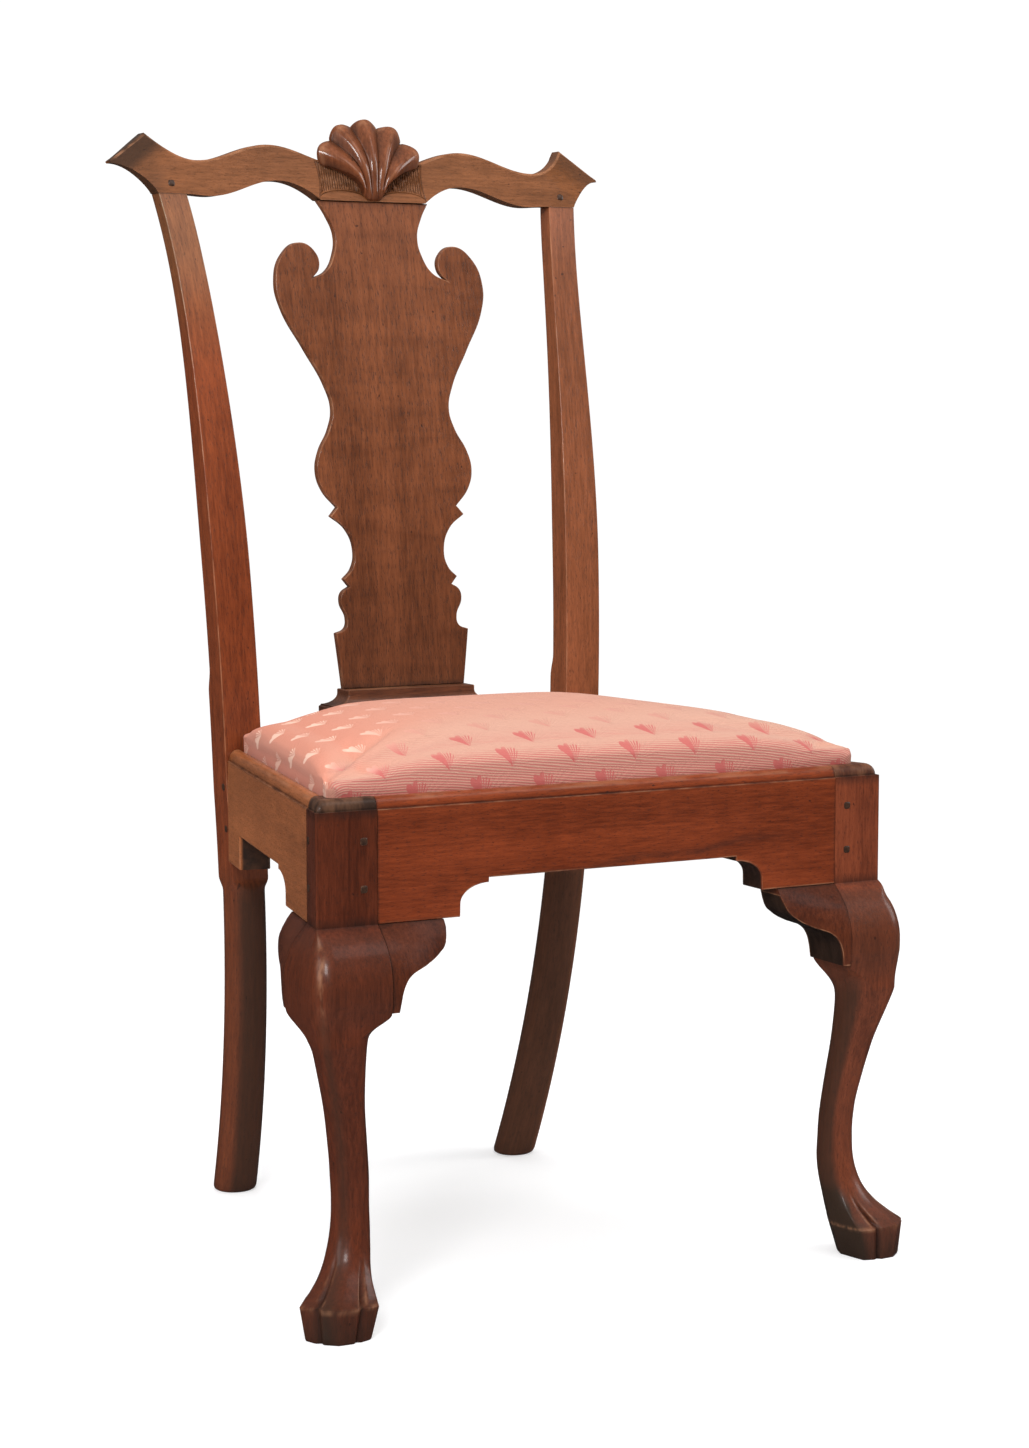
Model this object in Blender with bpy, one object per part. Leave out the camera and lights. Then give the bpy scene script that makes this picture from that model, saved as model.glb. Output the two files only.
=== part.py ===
"""Queen Anne side chair in walnut with a carved shell crest and a drop-in seat.

Metres, Z up, the front faces -Y.  Left and right are the viewer's, from the front.
Everything is built with Y = 0 on the front rail's face and is centred at the end.
"""
import math

import bmesh
import bpy
import numpy as np
from mathutils import Matrix, Vector

for old in list(bpy.data.objects):
    bpy.data.objects.remove(old, do_unlink=True)

# Seat frame
SEAT_TOP = 0.4315           # top of the seat rails above the floor
RAIL_HEIGHT = 0.102         # depth of the front and side rails
FRONT_WIDTH = 0.539         # across the outside of the front posts
REAR_SPACING = 0.3495       # between the rear post centres at the seat
REAR_CENTRE = 0.3795        # rear post centre behind the front face, at the seat
FRONT_THICK = 0.032         # front rail
SIDE_THICK = 0.028          # side rails
REAR_THICK = 0.0290         # rear rail
REAR_SET_BACK = 0.003       # rear rail behind the front of the rear posts
POST_FACE_LEFT = 0.054      # front of the left front post, up to the rail
POST_FACE_RIGHT = 0.0465    # front of the right front post, up to the rail
POST_SIDE = 0.033           # side of a front post, up to the side rail

# Moulded top edge and the rabbet for the seat
MOULD_HEIGHT = 0.0098
MOULD_WIDTH = 0.0085
MOULD_FILLET = 0.0016
MOULD_STEP = 0.0006         # square step under the round
LIP_WIDTH = 0.0120
RABBET_DEPTH = 0.0130
CORNER_ROUND = 0.0050

# Shaped lower edges of the rails
CUT_RISE = 0.0305           # flat part above the bottom of the rail
CUT_STEP = 0.0040           # small square step beside the flat
CUT_LIFT = 0.0100           # straight start at the end of the hollow
FRONT_DROP = 0.0735         # front rail left full at each end
FRONT_COVE = 0.0260
SIDE_DROP = 0.0840          # side rail left full next to the front post
SIDE_COVE = 0.0290
SIDE_TAIL = 0.0520          # side rail left full next to the rear post

# Rear posts: leg below, stile above, in one piece
BEND_BELOW = 0.0375         # post upright this far below the top of the seat rails
LEG_RAKE = 0.0765           # foot behind the seat
LEG_TUCK = 0.0243           # foot in from the seat
STILE_RAKE = 0.0855         # top behind the seat
STILE_SPREAD = 0.0190       # top out from the seat
STILE_FLARE = 0.0089        # last turn outwards at the top
BEND_POWER = 2.2
POST_WIDTH = 0.0362
POST_DEPTH = 0.0325
STILE_WIDTH = 0.0276
STILE_DEPTH = 0.0240
STILE_ROUND = 0.0075        # worked-off back corners of the stile
LEG_DIAMETER = 0.0380
FOOT_DIAMETER = 0.0405
BLOCK_ABOVE = 0.050         # square block above the seat rails
BLOCK_BELOW = 0.017         # and below them
BLOCK_TURN = 0.0130         # block turning into the round leg
BLOCK_FADE = 0.0220         # height over which the back corners are worked off
TAPER_FOOT = 0.1625         # stile starts to slim above the seat rails
TAPER_HEAD = 0.0400         # and has slimmed below the crest
FOOT_EASE = 0.0060          # eased bottom edge of the rear leg
ARRIS = 0.0007

# Crest rail: heights from the top of the stiles
CREST_JOINT = 0.934         # top of the stiles above the floor
CREST_THICK = 0.0235
CREST_TILT = 0.33
CREST_EASE = 0.0022         # eased upper edge
HUMP_X = 0.100
HUMP_RISE = 0.0492
TROUGH_IN = 0.0277          # trough inside the stile's centre
TROUGH_RISE = 0.0318
EAR_OUT = 0.0148            # upper corner of an ear outside the stile's centre
EAR_RISE = 0.0565
TIP_OUT = 0.0513            # outer point of an ear
TIP_RISE = 0.0270
TIP_THICK = 0.0025
EAR_SWEEP = 0.0130          # ears turned back
EAR_REACH = 0.0400
BELLY_IN = 0.0229           # belly inside the stile
BELLY_DROP = 0.0012
ARCH_X = 0.095
ARCH_RISE = 0.0156
CREST_FLAT_IN = 0.0030      # flat of the crest inside the splat's edge

# Carved shell: heights from the top of the stiles
SHELL_FOOT_RISE = 0.0015
SHELL_HUB_RISE = 0.0220
SHELL_WAIST_RISE = 0.0375
SHELL_RADIUS = 0.0548
SHELL_SIDE = 0.0030         # outer lobes longer than the middle one
SHELL_SPREAD = math.radians(79)
SHELL_LOBES = 5
SHELL_NOTCH = 0.0085
SHELL_RIB = 0.0070
SHELL_RISE = 0.0100
SHELL_BACK = 0.0150
SHELL_EDGE = 0.0050         # thickness at the scalloped rim
SHELL_CURL = 0.0060
SHELL_FOOT_HALF = 0.0075
SHELL_BEND_HALF = 0.0135
SHELL_DIP = 0.0145          # outer lines bend lower than the middle ones

# Splat and shoe
SPLAT_WIDE = 0.1078         # half width across the scrolls
SPLAT_HALF = 0.0575         # half width at the top
SPLAT_FOOT_HALF = 0.0628    # half width at the shoe
SPLAT_BASE_BACK = 0.02425   # splat behind the rear rail's face, at the shoe
SPLAT_SET_BACK = 0.0023     # splat behind the crest's face, at the top
SPLAT_LEAN = 0.042
SPLAT_THICK = 0.0078
SHOE_RISE = 0.0474          # shoe above the seat rails
SHOE_HALF = 0.0655
SHOE_FLARE = 0.0170
SHOE_WALL = 0.0025          # shoe beyond the splat at the back
SHOE_COVE = 0.0095
SHOE_RIM = 0.0040           # plain band above the cove
SHOE_FILLET = 0.0020
SHOE_PROUD = 0.0005         # shoe in front of the rear rail
SHOE_FRONT_SHARE = 0.45     # flare of the front against the ends

# Front legs: offsets along the diagonal and diameters, by height
ANKLE_IN = 0.0343           # ankle centre in from the outer corner
ANKLE_BACK = 0.0136         # ankle centre behind the front face
FOOT_RIM = 0.0260
FOOT_THROW = 0.0195
FOOT_WIDTH = 0.0660
TOE_REACH = 0.0030          # middle toe beyond the others
TOE_LIFT = 0.0040           # rim raised at the toes
BASE_WIDTH = 0.0525
BASE_THROW = 0.0212
TOE_AXIS = math.radians(33.75)
TOE_GROOVE = 0.110
TOE_FADE = 0.0400           # toes and grooves die out above the rim
ANKLE_HEIGHT = 0.1040
ANKLE_WIDTH = 0.0300
SHANK_WIDTH = 0.0475        # shank under the knee
SHANK_THROW = 0.0165
SHANK_ARRIS = 0.0575        # outer arris starts below the top of the shank
THROAT = 0.0240             # shank blending into the knee
KNEE_FRONT = 0.0280         # knee forward of the rail
KNEE_SIDE = 0.0102          # knee outside the post's corner
KNEE_SEAM = 0.0205          # knee outside the side rail where they meet
KNEE_ROUND = 0.0100
BRACKET_LENGTH = 0.0585
BRACKET_HEIGHT = 0.0680
BRACKET_DEPTH = 0.0270
FRONT_KEEP = 0.60           # share of the swell left at a bracket's far end
SIDE_KEEP = 0.85

# Joints
TENON_THICK = 0.0095
TENON_SHOULDER = 0.0100     # tenons short of the rail's top and bottom
FRONT_TENON = 0.0310
FRONT_TENON_SET = 0.0075
SIDE_TENON = 0.0120
SIDE_TENON_SET = 0.0085
BACK_TENON = 0.0210
REAR_TENON = 0.0115
STILE_TENON = 0.0200
STILE_TENON_WIDE = 0.0150
STILE_TENON_THICK = 0.0070
SPLAT_TONGUE = 0.0080
SPLAT_TENON = 0.0120
SPLAT_TENON_THICK = 0.0042
SPLAT_TENON_IN = 0.0060     # tenon inside the splat's edges
SPLAT_TENON_BACK = 0.0005   # tenon in from the splat's back
SPLAT_ROOT = 0.0040         # tenon's start inside the splat
TENON_ROOT = 0.0120         # tenon's start inside its own piece
TENON_COVER = 0.0040        # wood between a tenon and the seat's ledge
STILE_TENON_BACK = 0.0010   # behind the stile's centre
CUT_OVER = 0.0200           # cuts beyond the faces
PEG_RADIUS = 0.0029
PEG_LENGTH = 0.0240
PEG_PROUD = 0.0004
PEG_IN = 0.0120             # peg centre from the shoulder, front rail
PEG_SIDE_IN = 0.0065
PEG_BACK_IN = 0.0080
PEG_LOW = 0.0290            # lower peg above the rail's bottom
PEG_APART = 0.0385
CREST_PEG_UP = 0.0095
CREST_PEG_DROP = 0.297      # crest pegs fall towards the back
CREST_PEG_SHORT = 0.0050    # crest pegs stop short of the crest's back
BLOCK_RADIUS = 0.0240
GAP = 0.0003
FIT = 0.0003

# Drop-in seat
SEAT_CLEAR = 0.0010
FRAME_THICK = 0.0135
FRAME_WIDTH = 0.0440
FRAME_TENON = 0.0200
FRAME_TENON_THICK = 0.0060
FRAME_TENON_IN = 0.0100
WEB_WIDTH = 0.0500
WEB_THICK = 0.0012
WEB_WAVE = 0.0010
WEB_COUNT = 3
WEB_END = 0.0120            # webbing short of the frame's edge
WEB_FADE = 0.0400           # webbing lies flat near its ends
COVER_THICK = 0.0012
COVER_TURN = 0.0240
COVER_ROUND = 0.0110
COVER_EASE = 0.0010         # eased lower edge
CUSHION_EDGE = 0.0065       # cover above the rails where the crown starts
CUSHION_CROWN = 0.0460
CUSHION_DRAW = 0.0030       # sides drawn in between the corners

RAIL_BASE = SEAT_TOP - RAIL_HEIGHT
LEDGE = SEAT_TOP - RABBET_DEPTH
BEND_HEIGHT = SEAT_TOP - BEND_BELOW
BRACKET_BASE = RAIL_BASE - BRACKET_HEIGHT
SHANK_TOP = BRACKET_BASE - THROAT
LEG_TOP = RAIL_BASE - BLOCK_BELOW - BLOCK_TURN
BLOCK_TOP = SEAT_TOP + BLOCK_ABOVE
SHOE_TOP = SEAT_TOP + SHOE_RISE

parts = bpy.data.collections.new("queen_anne_side_chair")
cutters = bpy.data.collections.new("cutters")
for made in (parts, cutters):
    bpy.context.scene.collection.children.link(made)
cutters.hide_render = True


def paint(name, colour, roughness):
    """One Principled material."""
    mat = bpy.data.materials.new(name)
    mat.use_nodes = True
    shader = mat.node_tree.nodes["Principled BSDF"]
    shader.inputs["Base Color"].default_value = (*colour, 1.0)
    shader.inputs["Roughness"].default_value = roughness
    mat.diffuse_color = (*colour, 1.0)
    return mat


def add_object(name, bm, colour=None, smooth=False):
    """Finish a bmesh as a named part, or as a cutter where no colour is given."""
    bmesh.ops.remove_doubles(bm, verts=bm.verts, dist=0.00001)
    bmesh.ops.recalc_face_normals(bm, faces=bm.faces)
    for face in bm.faces:
        face.smooth = smooth
    mesh = bpy.data.meshes.new(name)
    bm.to_mesh(mesh)
    bm.free()
    ob = bpy.data.objects.new(name, mesh)
    if colour is None:
        ob.display_type = 'WIRE'
        ob.hide_render = True
        cutters.objects.link(ob)
    else:
        mesh.materials.append(paint(name, *colour))
        parts.objects.link(ob)
    return ob


def loft(rings):
    """Closed body through rings of equal point count, with flat ends."""
    bm = bmesh.new()
    rows = [[bm.verts.new(p) for p in ring] for ring in rings]
    for low, high in zip(rows[:-1], rows[1:]):
        for k in range(len(low)):
            j = (k + 1) % len(low)
            bm.faces.new((low[k], low[j], high[j], high[k]))
    bm.faces.new(rows[0])
    bm.faces.new(rows[-1])
    return bm


def prism(points, depth):
    """Flat outline pushed along a vector."""
    bm = bmesh.new()
    face = bm.faces.new([bm.verts.new(p) for p in points])
    grown = bmesh.ops.extrude_face_region(bm, geom=[face])["geom"]
    moved = [v for v in grown if isinstance(v, bmesh.types.BMVert)]
    bmesh.ops.translate(bm, verts=moved, vec=Vector(depth))
    return bm


def box(low, high, frame=Matrix.Identity(4)):
    """Block between two corners of a local frame."""
    size = [b - a for a, b in zip(low, high)]
    middle = [(a + b) / 2 for a, b in zip(low, high)]
    bm = bmesh.new()
    place = frame @ Matrix.Translation(middle) @ Matrix.Diagonal((*size, 1.0))
    bmesh.ops.create_cube(bm, size=1.0, matrix=place)
    return bm


def rod(start, axis, length, radius, sides=10):
    """Round rod from a point along an axis."""
    turn = Vector(axis).to_track_quat('Z', 'Y').to_matrix().to_4x4()
    place = Matrix.Translation(start) @ turn @ Matrix.Translation((0, 0, length / 2))
    bm = bmesh.new()
    bmesh.ops.create_cone(bm, cap_ends=True, segments=sides, radius1=radius,
                          radius2=radius, depth=length, matrix=place)
    return bm


def combine(target, tool, operation='DIFFERENCE'):
    """Boolean that keeps the tool in the cutters."""
    mod = target.modifiers.new(tool.name, 'BOOLEAN')
    mod.operation = operation
    mod.solver = 'EXACT'
    mod.object = tool


def ease(t):
    """Smooth step from 0 to 1."""
    t = np.clip(t, 0.0, 1.0)
    return t * t * (3.0 - 2.0 * t)


def curve_through(points):
    """Function giving a smooth curve through (position, value) points."""
    x = np.array([p[0] for p in points])
    y = np.array([p[1] for p in points])
    step = np.diff(y) / np.diff(x)
    slope = np.concatenate(([step[0]], (step[:-1] + step[1:]) / 2, [step[-1]]))
    slope[1:-1][step[:-1] * step[1:] <= 0] = 0.0

    def value(v):
        v = np.clip(v, x[0], x[-1])
        k = np.clip(np.searchsorted(x, v) - 1, 0, len(x) - 2)
        h = x[k + 1] - x[k]
        t = (v - x[k]) / h
        start = (2 * t**3 - 3 * t**2 + 1) * y[k] + (t**3 - 2 * t**2 + t) * h * slope[k]
        end = (3 * t**2 - 2 * t**3) * y[k + 1] + (t**3 - t**2) * h * slope[k + 1]
        return start + end
    return value


def rounded(corners, radii, z, count, flats=False):
    """Section with rounded corners at one height, the same point count at each corner.

    With flats, each arc keeps its last point, so that straight sides stay straight.
    """
    corners = [np.array(c, float) for c in corners]
    bend = 0.4477
    t = (np.arange(count) / (count - 1 if flats else count))[:, None]
    points = []
    for k, corner in enumerate(corners):
        before = corners[k - 1] - corner
        after = corners[(k + 1) % len(corners)] - corner
        before *= radii[k] / np.linalg.norm(before)
        after *= radii[k] / np.linalg.norm(after)
        arc = ((1 - t)**3 * (corner + before) + 3 * t * (1 - t)**2 * (corner + bend * before)
               + 3 * t**2 * (1 - t) * (corner + bend * after) + t**3 * (corner + after))
        points.append(arc)
    flat = np.vstack(points)
    return np.column_stack((flat, np.full(len(flat), z)))


def post_axis(z):
    """Centre of a rear post: spacing out and distance back."""
    down = max(0.0, (BEND_HEIGHT - z) / BEND_HEIGHT)
    up = max(0.0, (z - BEND_HEIGHT) / (CREST_JOINT - BEND_HEIGHT))
    out = REAR_SPACING / 2 - LEG_TUCK * down + STILE_SPREAD * up + STILE_FLARE * up**8
    back = REAR_CENTRE + LEG_RAKE * down**BEND_POWER + STILE_RAKE * up**BEND_POWER
    return out, back


# Places that several pieces share
RAIL_MID = SEAT_TOP - RAIL_HEIGHT / 2
SEAT_POST_X = post_axis(RAIL_MID)[0]
POST_FRONT = post_axis(RAIL_MID)[1] - POST_DEPTH / 2
CORNER_X = FRONT_WIDTH / 2
SIDE_RUN = POST_FRONT
SIDE_IN = CORNER_X - (SEAT_POST_X + POST_WIDTH / 2)
SIDE_ANGLE = math.atan2(SIDE_IN, SIDE_RUN)
JOINT_X = {-1: CORNER_X - POST_FACE_LEFT, 1: CORNER_X - POST_FACE_RIGHT}
SIDES = {-1: "left", 1: "right"}

WALNUT = ((0.205, 0.066, 0.027), 0.32)
DARK_WALNUT = ((0.120, 0.040, 0.020), 0.34)
SECONDARY = ((0.42, 0.27, 0.13), 0.60)
PEG_WOOD = ((0.050, 0.030, 0.018), 0.50)
JUTE = ((0.46, 0.36, 0.22), 0.85)
HAIR = ((0.55, 0.46, 0.33), 0.90)
SILK = ((0.72, 0.30, 0.24), 0.62)


def side_frame(sign):
    """Local frame of a side rail: along it, inwards, up."""
    s, c = math.sin(SIDE_ANGLE), math.cos(SIDE_ANGLE)
    along = Vector((-sign * s, c, 0))
    inward = Vector((-sign * c, -s, 0))
    frame = Matrix.Identity(4)
    for column, axis in enumerate((along, inward, Vector((0, 0, 1)))):
        frame.col[column][:3] = axis
    frame.col[3][:3] = (sign * CORNER_X, 0, 0)
    return frame


def side_point(sign, y, inset, z):
    """Point of a side rail at a distance back and a distance in from its face."""
    x = CORNER_X - y * math.tan(SIDE_ANGLE) - inset / math.cos(SIDE_ANGLE)
    return sign * x, y, z


def mould_steps():
    """Offset and height of the moulded edge, from the face up to the top."""
    base = SEAT_TOP - MOULD_HEIGHT
    round_wide = MOULD_WIDTH - MOULD_FILLET
    round_tall = MOULD_HEIGHT - MOULD_STEP
    steps = [(0.0, base)]
    for turn in np.linspace(0, math.pi / 2, 5):
        inset = MOULD_FILLET + round_wide * (1 - math.cos(turn))
        steps.append((inset, base + MOULD_STEP + round_tall * math.sin(turn)))
    return steps


def rail_profile(thick):
    """Rail section as inset from the face and height."""
    return ([(0.0, RAIL_BASE)] + mould_steps()
            + [(LIP_WIDTH, SEAT_TOP), (LIP_WIDTH, LEDGE), (thick, LEDGE), (thick, RAIL_BASE)])


def hollow(start, end, cove_start, cove_end):
    """Outline of the shaped lower edge between two places along a rail."""
    low = RAIL_BASE - CUT_OVER
    flat = RAIL_BASE + CUT_RISE
    lift = RAIL_BASE + CUT_LIFT
    rise = CUT_RISE - CUT_STEP - CUT_LIFT
    turn = np.linspace(0, math.pi / 2, 8)
    line = [(start, low)]
    if cove_start:
        line += [(start + cove_start * (1 - math.cos(a)), lift + rise * math.sin(a)) for a in turn]
        line += [(start + cove_start, flat)]
    else:
        line += [(start, flat)]
    if cove_end:
        line += [(end - cove_end, flat)]
        line += [(end - cove_end * (1 - math.cos(a)), lift + rise * math.sin(a)) for a in turn[::-1]]
    else:
        line += [(end, flat)]
    line += [(end, low)]
    return line


# Front rail
left_end = -JOINT_X[-1] + GAP
right_end = JOINT_X[1] - GAP
outline = [(left_end, y, z) for y, z in rail_profile(FRONT_THICK)]
front_rail = add_object("front_rail", prism(outline, (right_end - left_end, 0, 0)), WALNUT)
cut_line = hollow(left_end + FRONT_DROP, right_end - FRONT_DROP, FRONT_COVE, FRONT_COVE)
front_hollow = add_object("front_hollow", prism([(x, -CUT_OVER, z) for x, z in cut_line],
                                                (0, FRONT_THICK + 2 * CUT_OVER, 0)))
combine(front_rail, front_hollow)

# Side rails
side_rails = {}
for sign, side in SIDES.items():
    frame = side_frame(sign)
    profile = rail_profile(SIDE_THICK)
    near = [side_point(sign, POST_SIDE + GAP, o, z) for o, z in profile]
    far = [side_point(sign, POST_FRONT - GAP, o, z) for o, z in profile]
    rail = add_object("side_rail_" + side, loft([near, far]), WALNUT)
    start = POST_SIDE / math.cos(SIDE_ANGLE) + SIDE_DROP
    end = SIDE_RUN / math.cos(SIDE_ANGLE) - SIDE_TAIL
    line = [frame @ Vector((s, -CUT_OVER, z)) for s, z in hollow(start, end, SIDE_COVE, 0)]
    depth = frame.to_3x3() @ Vector((0, SIDE_THICK + 2 * CUT_OVER, 0))
    combine(rail, add_object("side_hollow_" + side, prism(line, depth)))
    side_rails[sign] = rail

# Rear rail
rear_y = POST_FRONT + REAR_SET_BACK
half = min(post_axis(z)[0] for z in (RAIL_BASE, SEAT_TOP)) - POST_WIDTH / 2 - GAP
rear_rail = add_object("rear_rail", box((-half, rear_y, RAIL_BASE),
                                        (half, rear_y + REAR_THICK, SEAT_TOP)), DARK_WALNUT)

def post_section(z, sign):
    """Rear post at one height: round leg, square block, stile with eased back corners."""
    out, back = post_axis(z)
    start, end = SEAT_TOP + TAPER_FOOT, CREST_JOINT - TAPER_HEAD
    slim = ease((z - start) / (end - start))
    wide = POST_WIDTH + (STILE_WIDTH - POST_WIDTH) * slim
    deep = POST_DEPTH + (STILE_DEPTH - POST_DEPTH) * slim
    front_round = ARRIS
    back_round = ARRIS + (STILE_ROUND - ARRIS) * ease((z - BLOCK_TOP) / BLOCK_FADE)
    leg = 1.0 - ease((z - LEG_TOP) / (RAIL_BASE - BLOCK_BELOW - LEG_TOP))
    if leg > 0:
        girth = LEG_DIAMETER + (FOOT_DIAMETER - LEG_DIAMETER) * (1 - z / LEG_TOP)
        girth -= FOOT_EASE * (1 - math.sqrt(1 - max(0.0, 1 - z / FOOT_EASE)**2))
        wide += (girth - wide) * leg
        deep += (girth - deep) * leg
        front_round += (0.4999 * min(wide, deep) - front_round) * leg
        back_round = front_round
    x0, x1 = sign * (out - wide / 2), sign * (out + wide / 2)
    y0, y1 = back - deep / 2, back + deep / 2
    corners = [(x0, y0), (x1, y0), (x1, y1), (x0, y1)]
    return rounded(corners, [front_round, front_round, back_round, back_round], z, 4)


# Rear posts
FLARE_RUN = 0.050           # closer sections where the stile turns outwards
POST_HEIGHTS = sorted({0.0, FOOT_EASE / 3, FOOT_EASE, *np.linspace(FOOT_EASE, LEG_TOP, 8)[1:],
                       *np.linspace(LEG_TOP, RAIL_BASE - BLOCK_BELOW, 5)[1:], RAIL_MID, SEAT_TOP,
                       *np.linspace(BLOCK_TOP, BLOCK_TOP + BLOCK_FADE, 4),
                       *np.linspace(BLOCK_TOP + BLOCK_FADE, CREST_JOINT - FLARE_RUN, 9)[1:],
                       *np.linspace(CREST_JOINT - FLARE_RUN, CREST_JOINT - GAP, 4)[1:]})
posts = {}
for sign, side in SIDES.items():
    rings = [post_section(z, sign) for z in POST_HEIGHTS]
    posts[sign] = add_object("rear_post_" + side, loft(rings), WALNUT)

# Front legs: swell of the knee by height, as shares of the brackets' height
KNEE_RUN = ((0.0, 0.94), (0.18, 1.0), (0.38, 0.985), (0.56, 0.88), (0.75, 0.64), (0.91, 0.26), (1.0, 0.0))
KNEE_START = 0.82           # swell where the shank begins to blend
knee_swell = curve_through([(SHANK_TOP, KNEE_START)]
                           + [(BRACKET_BASE + BRACKET_HEIGHT * t, swell) for t, swell in KNEE_RUN])

# Throw and width of the foot and of the shank, as shares of their spans
FOOT_RUN = ((0.0, 1.0, 1.0), (0.05, 0.862, 0.847), (0.13, 0.69, 0.65), (0.205, 0.538, 0.486),
            (0.36, 0.308, 0.264), (0.55, 0.113, 0.131), (0.745, 0.010, 0.056))
SHANK_RUN = ((0.0, 0.0, 0.0), (0.187, 0.073, -0.011), (0.412, 0.309, 0.126), (0.637, 0.594, 0.349),
             (0.861, 0.861, 0.714), (1.0, 1.0, 1.0))


def run_points(low, high, base, peak, run, column):
    """Points of a curve from shares of a height and of a value."""
    return [(low + (high - low) * row[0], base + (peak - base) * row[column]) for row in run]


shank_throw = curve_through(run_points(FOOT_RIM, ANKLE_HEIGHT, 0.0, FOOT_THROW, FOOT_RUN, 1)
                            + run_points(ANKLE_HEIGHT, SHANK_TOP, 0.0, SHANK_THROW, SHANK_RUN, 1))
shank_width = curve_through(run_points(FOOT_RIM, ANKLE_HEIGHT, ANKLE_WIDTH, FOOT_WIDTH, FOOT_RUN, 2)
                            + run_points(ANKLE_HEIGHT, SHANK_TOP, ANKLE_WIDTH, SHANK_WIDTH, SHANK_RUN, 2))


def shank_section(z, sign):
    """Round shank and three-toed foot at one height, the outer arris kept near the knee."""
    if z < FOOT_RIM:
        throw = BASE_THROW + (FOOT_THROW - BASE_THROW) * z / FOOT_RIM
        wide = BASE_WIDTH + (FOOT_WIDTH - BASE_WIDTH) * z / FOOT_RIM
    else:
        throw, wide = float(shank_throw(z)), float(shank_width(z))
    cx = CORNER_X - ANKLE_IN + throw
    cy = ANKLE_BACK - throw
    h = wide / 2
    r = 0.9998 * h
    sharp = h * (1.0 - 0.42 * ease(1 + (z - SHANK_TOP) / SHANK_ARRIS))
    corners = [(cx + h, cy - h), (cx - h, cy - h), (cx - h, cy + h), (cx + h, cy + h)]
    ring = rounded(corners, [min(r, sharp), r, r, r], z, 8)
    low = float(ease(1 - (z - FOOT_RIM) / TOE_FADE))
    around = np.arctan2(ring[:, 0] - cx, -(ring[:, 1] - cy)) - TOE_AXIS
    around = (around + math.pi) % (2 * math.pi) - math.pi
    groove = np.zeros(len(ring))
    for place, share in ((22.5, 1.0), (-22.5, 1.0), (56.25, 0.6), (-56.25, 0.6)):
        groove += share * np.exp(-((around - math.radians(place)) / math.radians(6.5))**2)
    point = np.exp(-(around / math.radians(24))**2) * TOE_REACH / h
    scale = 1.0 + low * (point - TOE_GROOVE * groove)
    ring[:, 0] = sign * (cx + (ring[:, 0] - cx) * scale)
    ring[:, 1] = cy + (ring[:, 1] - cy) * scale
    ring[:, 2] += TOE_LIFT * low * min(1.0, z / FOOT_RIM) * np.exp(-(around / math.radians(70))**2)
    return ring


def knee_section(z, sign, inset=0.0):
    """Knee and corner post at one height, flat against the rails and brackets."""
    swell = float(knee_swell(z)) if z < RAIL_BASE else 0.0
    front = inset - KNEE_FRONT * swell
    slant = POST_SIDE * math.tan(SIDE_ANGLE)
    outer = (CORNER_X + KNEE_SIDE * swell - inset, front)
    front_in = (JOINT_X[sign], front)
    inner = (JOINT_X[sign], POST_SIDE)
    rear_out = (CORNER_X - slant + KNEE_SEAM * swell / math.cos(SIDE_ANGLE) - inset, POST_SIDE)
    below = ease((RAIL_BASE - 0.001 - z) / 0.014)
    corner = CORNER_ROUND * 0.4 + (KNEE_ROUND - CORNER_ROUND * 0.4) * below
    if inset > 0:
        corner = CORNER_ROUND
    ring = rounded([outer, front_in, inner, rear_out], [corner, ARRIS, ARRIS, ARRIS], z, 8)
    ring[:, 0] *= sign
    return ring


def throat_section(z, sign):
    """Blend from the round shank into the knee just under the brackets."""
    t = float(ease((z - SHANK_TOP) / THROAT))**2.5
    return (1 - t) * shank_section(z, sign) + t * knee_section(z, sign)


FOOT_HEIGHTS = [FOOT_RIM + (ANKLE_HEIGHT - FOOT_RIM) * row[0] for row in FOOT_RUN]
SHANK_HEIGHTS = np.linspace(ANKLE_HEIGHT, SHANK_TOP, 7)
SOLE = 0.0020               # eased edge of the sole
legs = {}
for sign, side in SIDES.items():
    rings = [shank_section(z, sign) for z in (0.0, SOLE)]
    rings[0][:, :2] += 0.03 * (np.mean(rings[0][:, :2], axis=0) - rings[0][:, :2])
    rings += [shank_section(z, sign) for z in (*FOOT_HEIGHTS, *SHANK_HEIGHTS)]
    rings += [throat_section(z, sign) for z in np.linspace(SHANK_TOP, BRACKET_BASE, 5)[1:]]
    rings += [knee_section(z, sign) for z in np.linspace(BRACKET_BASE, RAIL_BASE, 9)[1:]]
    rings += [knee_section(z, sign, inset) for inset, z in mould_steps()]
    legs[sign] = add_object("front_leg_" + side, loft(rings), DARK_WALNUT)

# Knee brackets: lower edge as shares of the length and height
BRACKET_RUN = ((0.0, 0.0), (0.111, 0.0), (0.125, 0.088), (0.150, 0.206), (0.214, 0.338), (0.316, 0.426),
               (0.444, 0.473), (0.581, 0.515), (0.821, 0.632), (0.949, 0.757), (1.0, 0.912))
bracket_edge = curve_through(BRACKET_RUN)


def bracket(name, origin, along, outward, shear, bulge, keep):
    """Ogee bracket: lower edge along the rail, face swelling to meet the knee."""
    rings = []
    top = RAIL_BASE - GAP
    for q, _ in BRACKET_RUN:
        edge = BRACKET_BASE + BRACKET_HEIGHT * float(bracket_edge(q))
        fade = bulge * (1.0 - (1.0 - keep) * float(ease(q)))
        heights = edge + (top - edge) * np.array((0.0, 0.18, 0.4, 0.62, 0.82, 0.93, 1.0))
        section = [(fade * float(knee_swell(z)), z) for z in heights]
        section += [(-BRACKET_DEPTH, top), (-BRACKET_DEPTH, edge)]
        ring = []
        for o, z in section:
            run = GAP + q * BRACKET_LENGTH + shear * o * (1 - q)
            place = origin + along * run + outward * o
            ring.append((place.x, place.y, z))
        rings.append(ring)
    return add_object(name, loft(rings), DARK_WALNUT)


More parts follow.
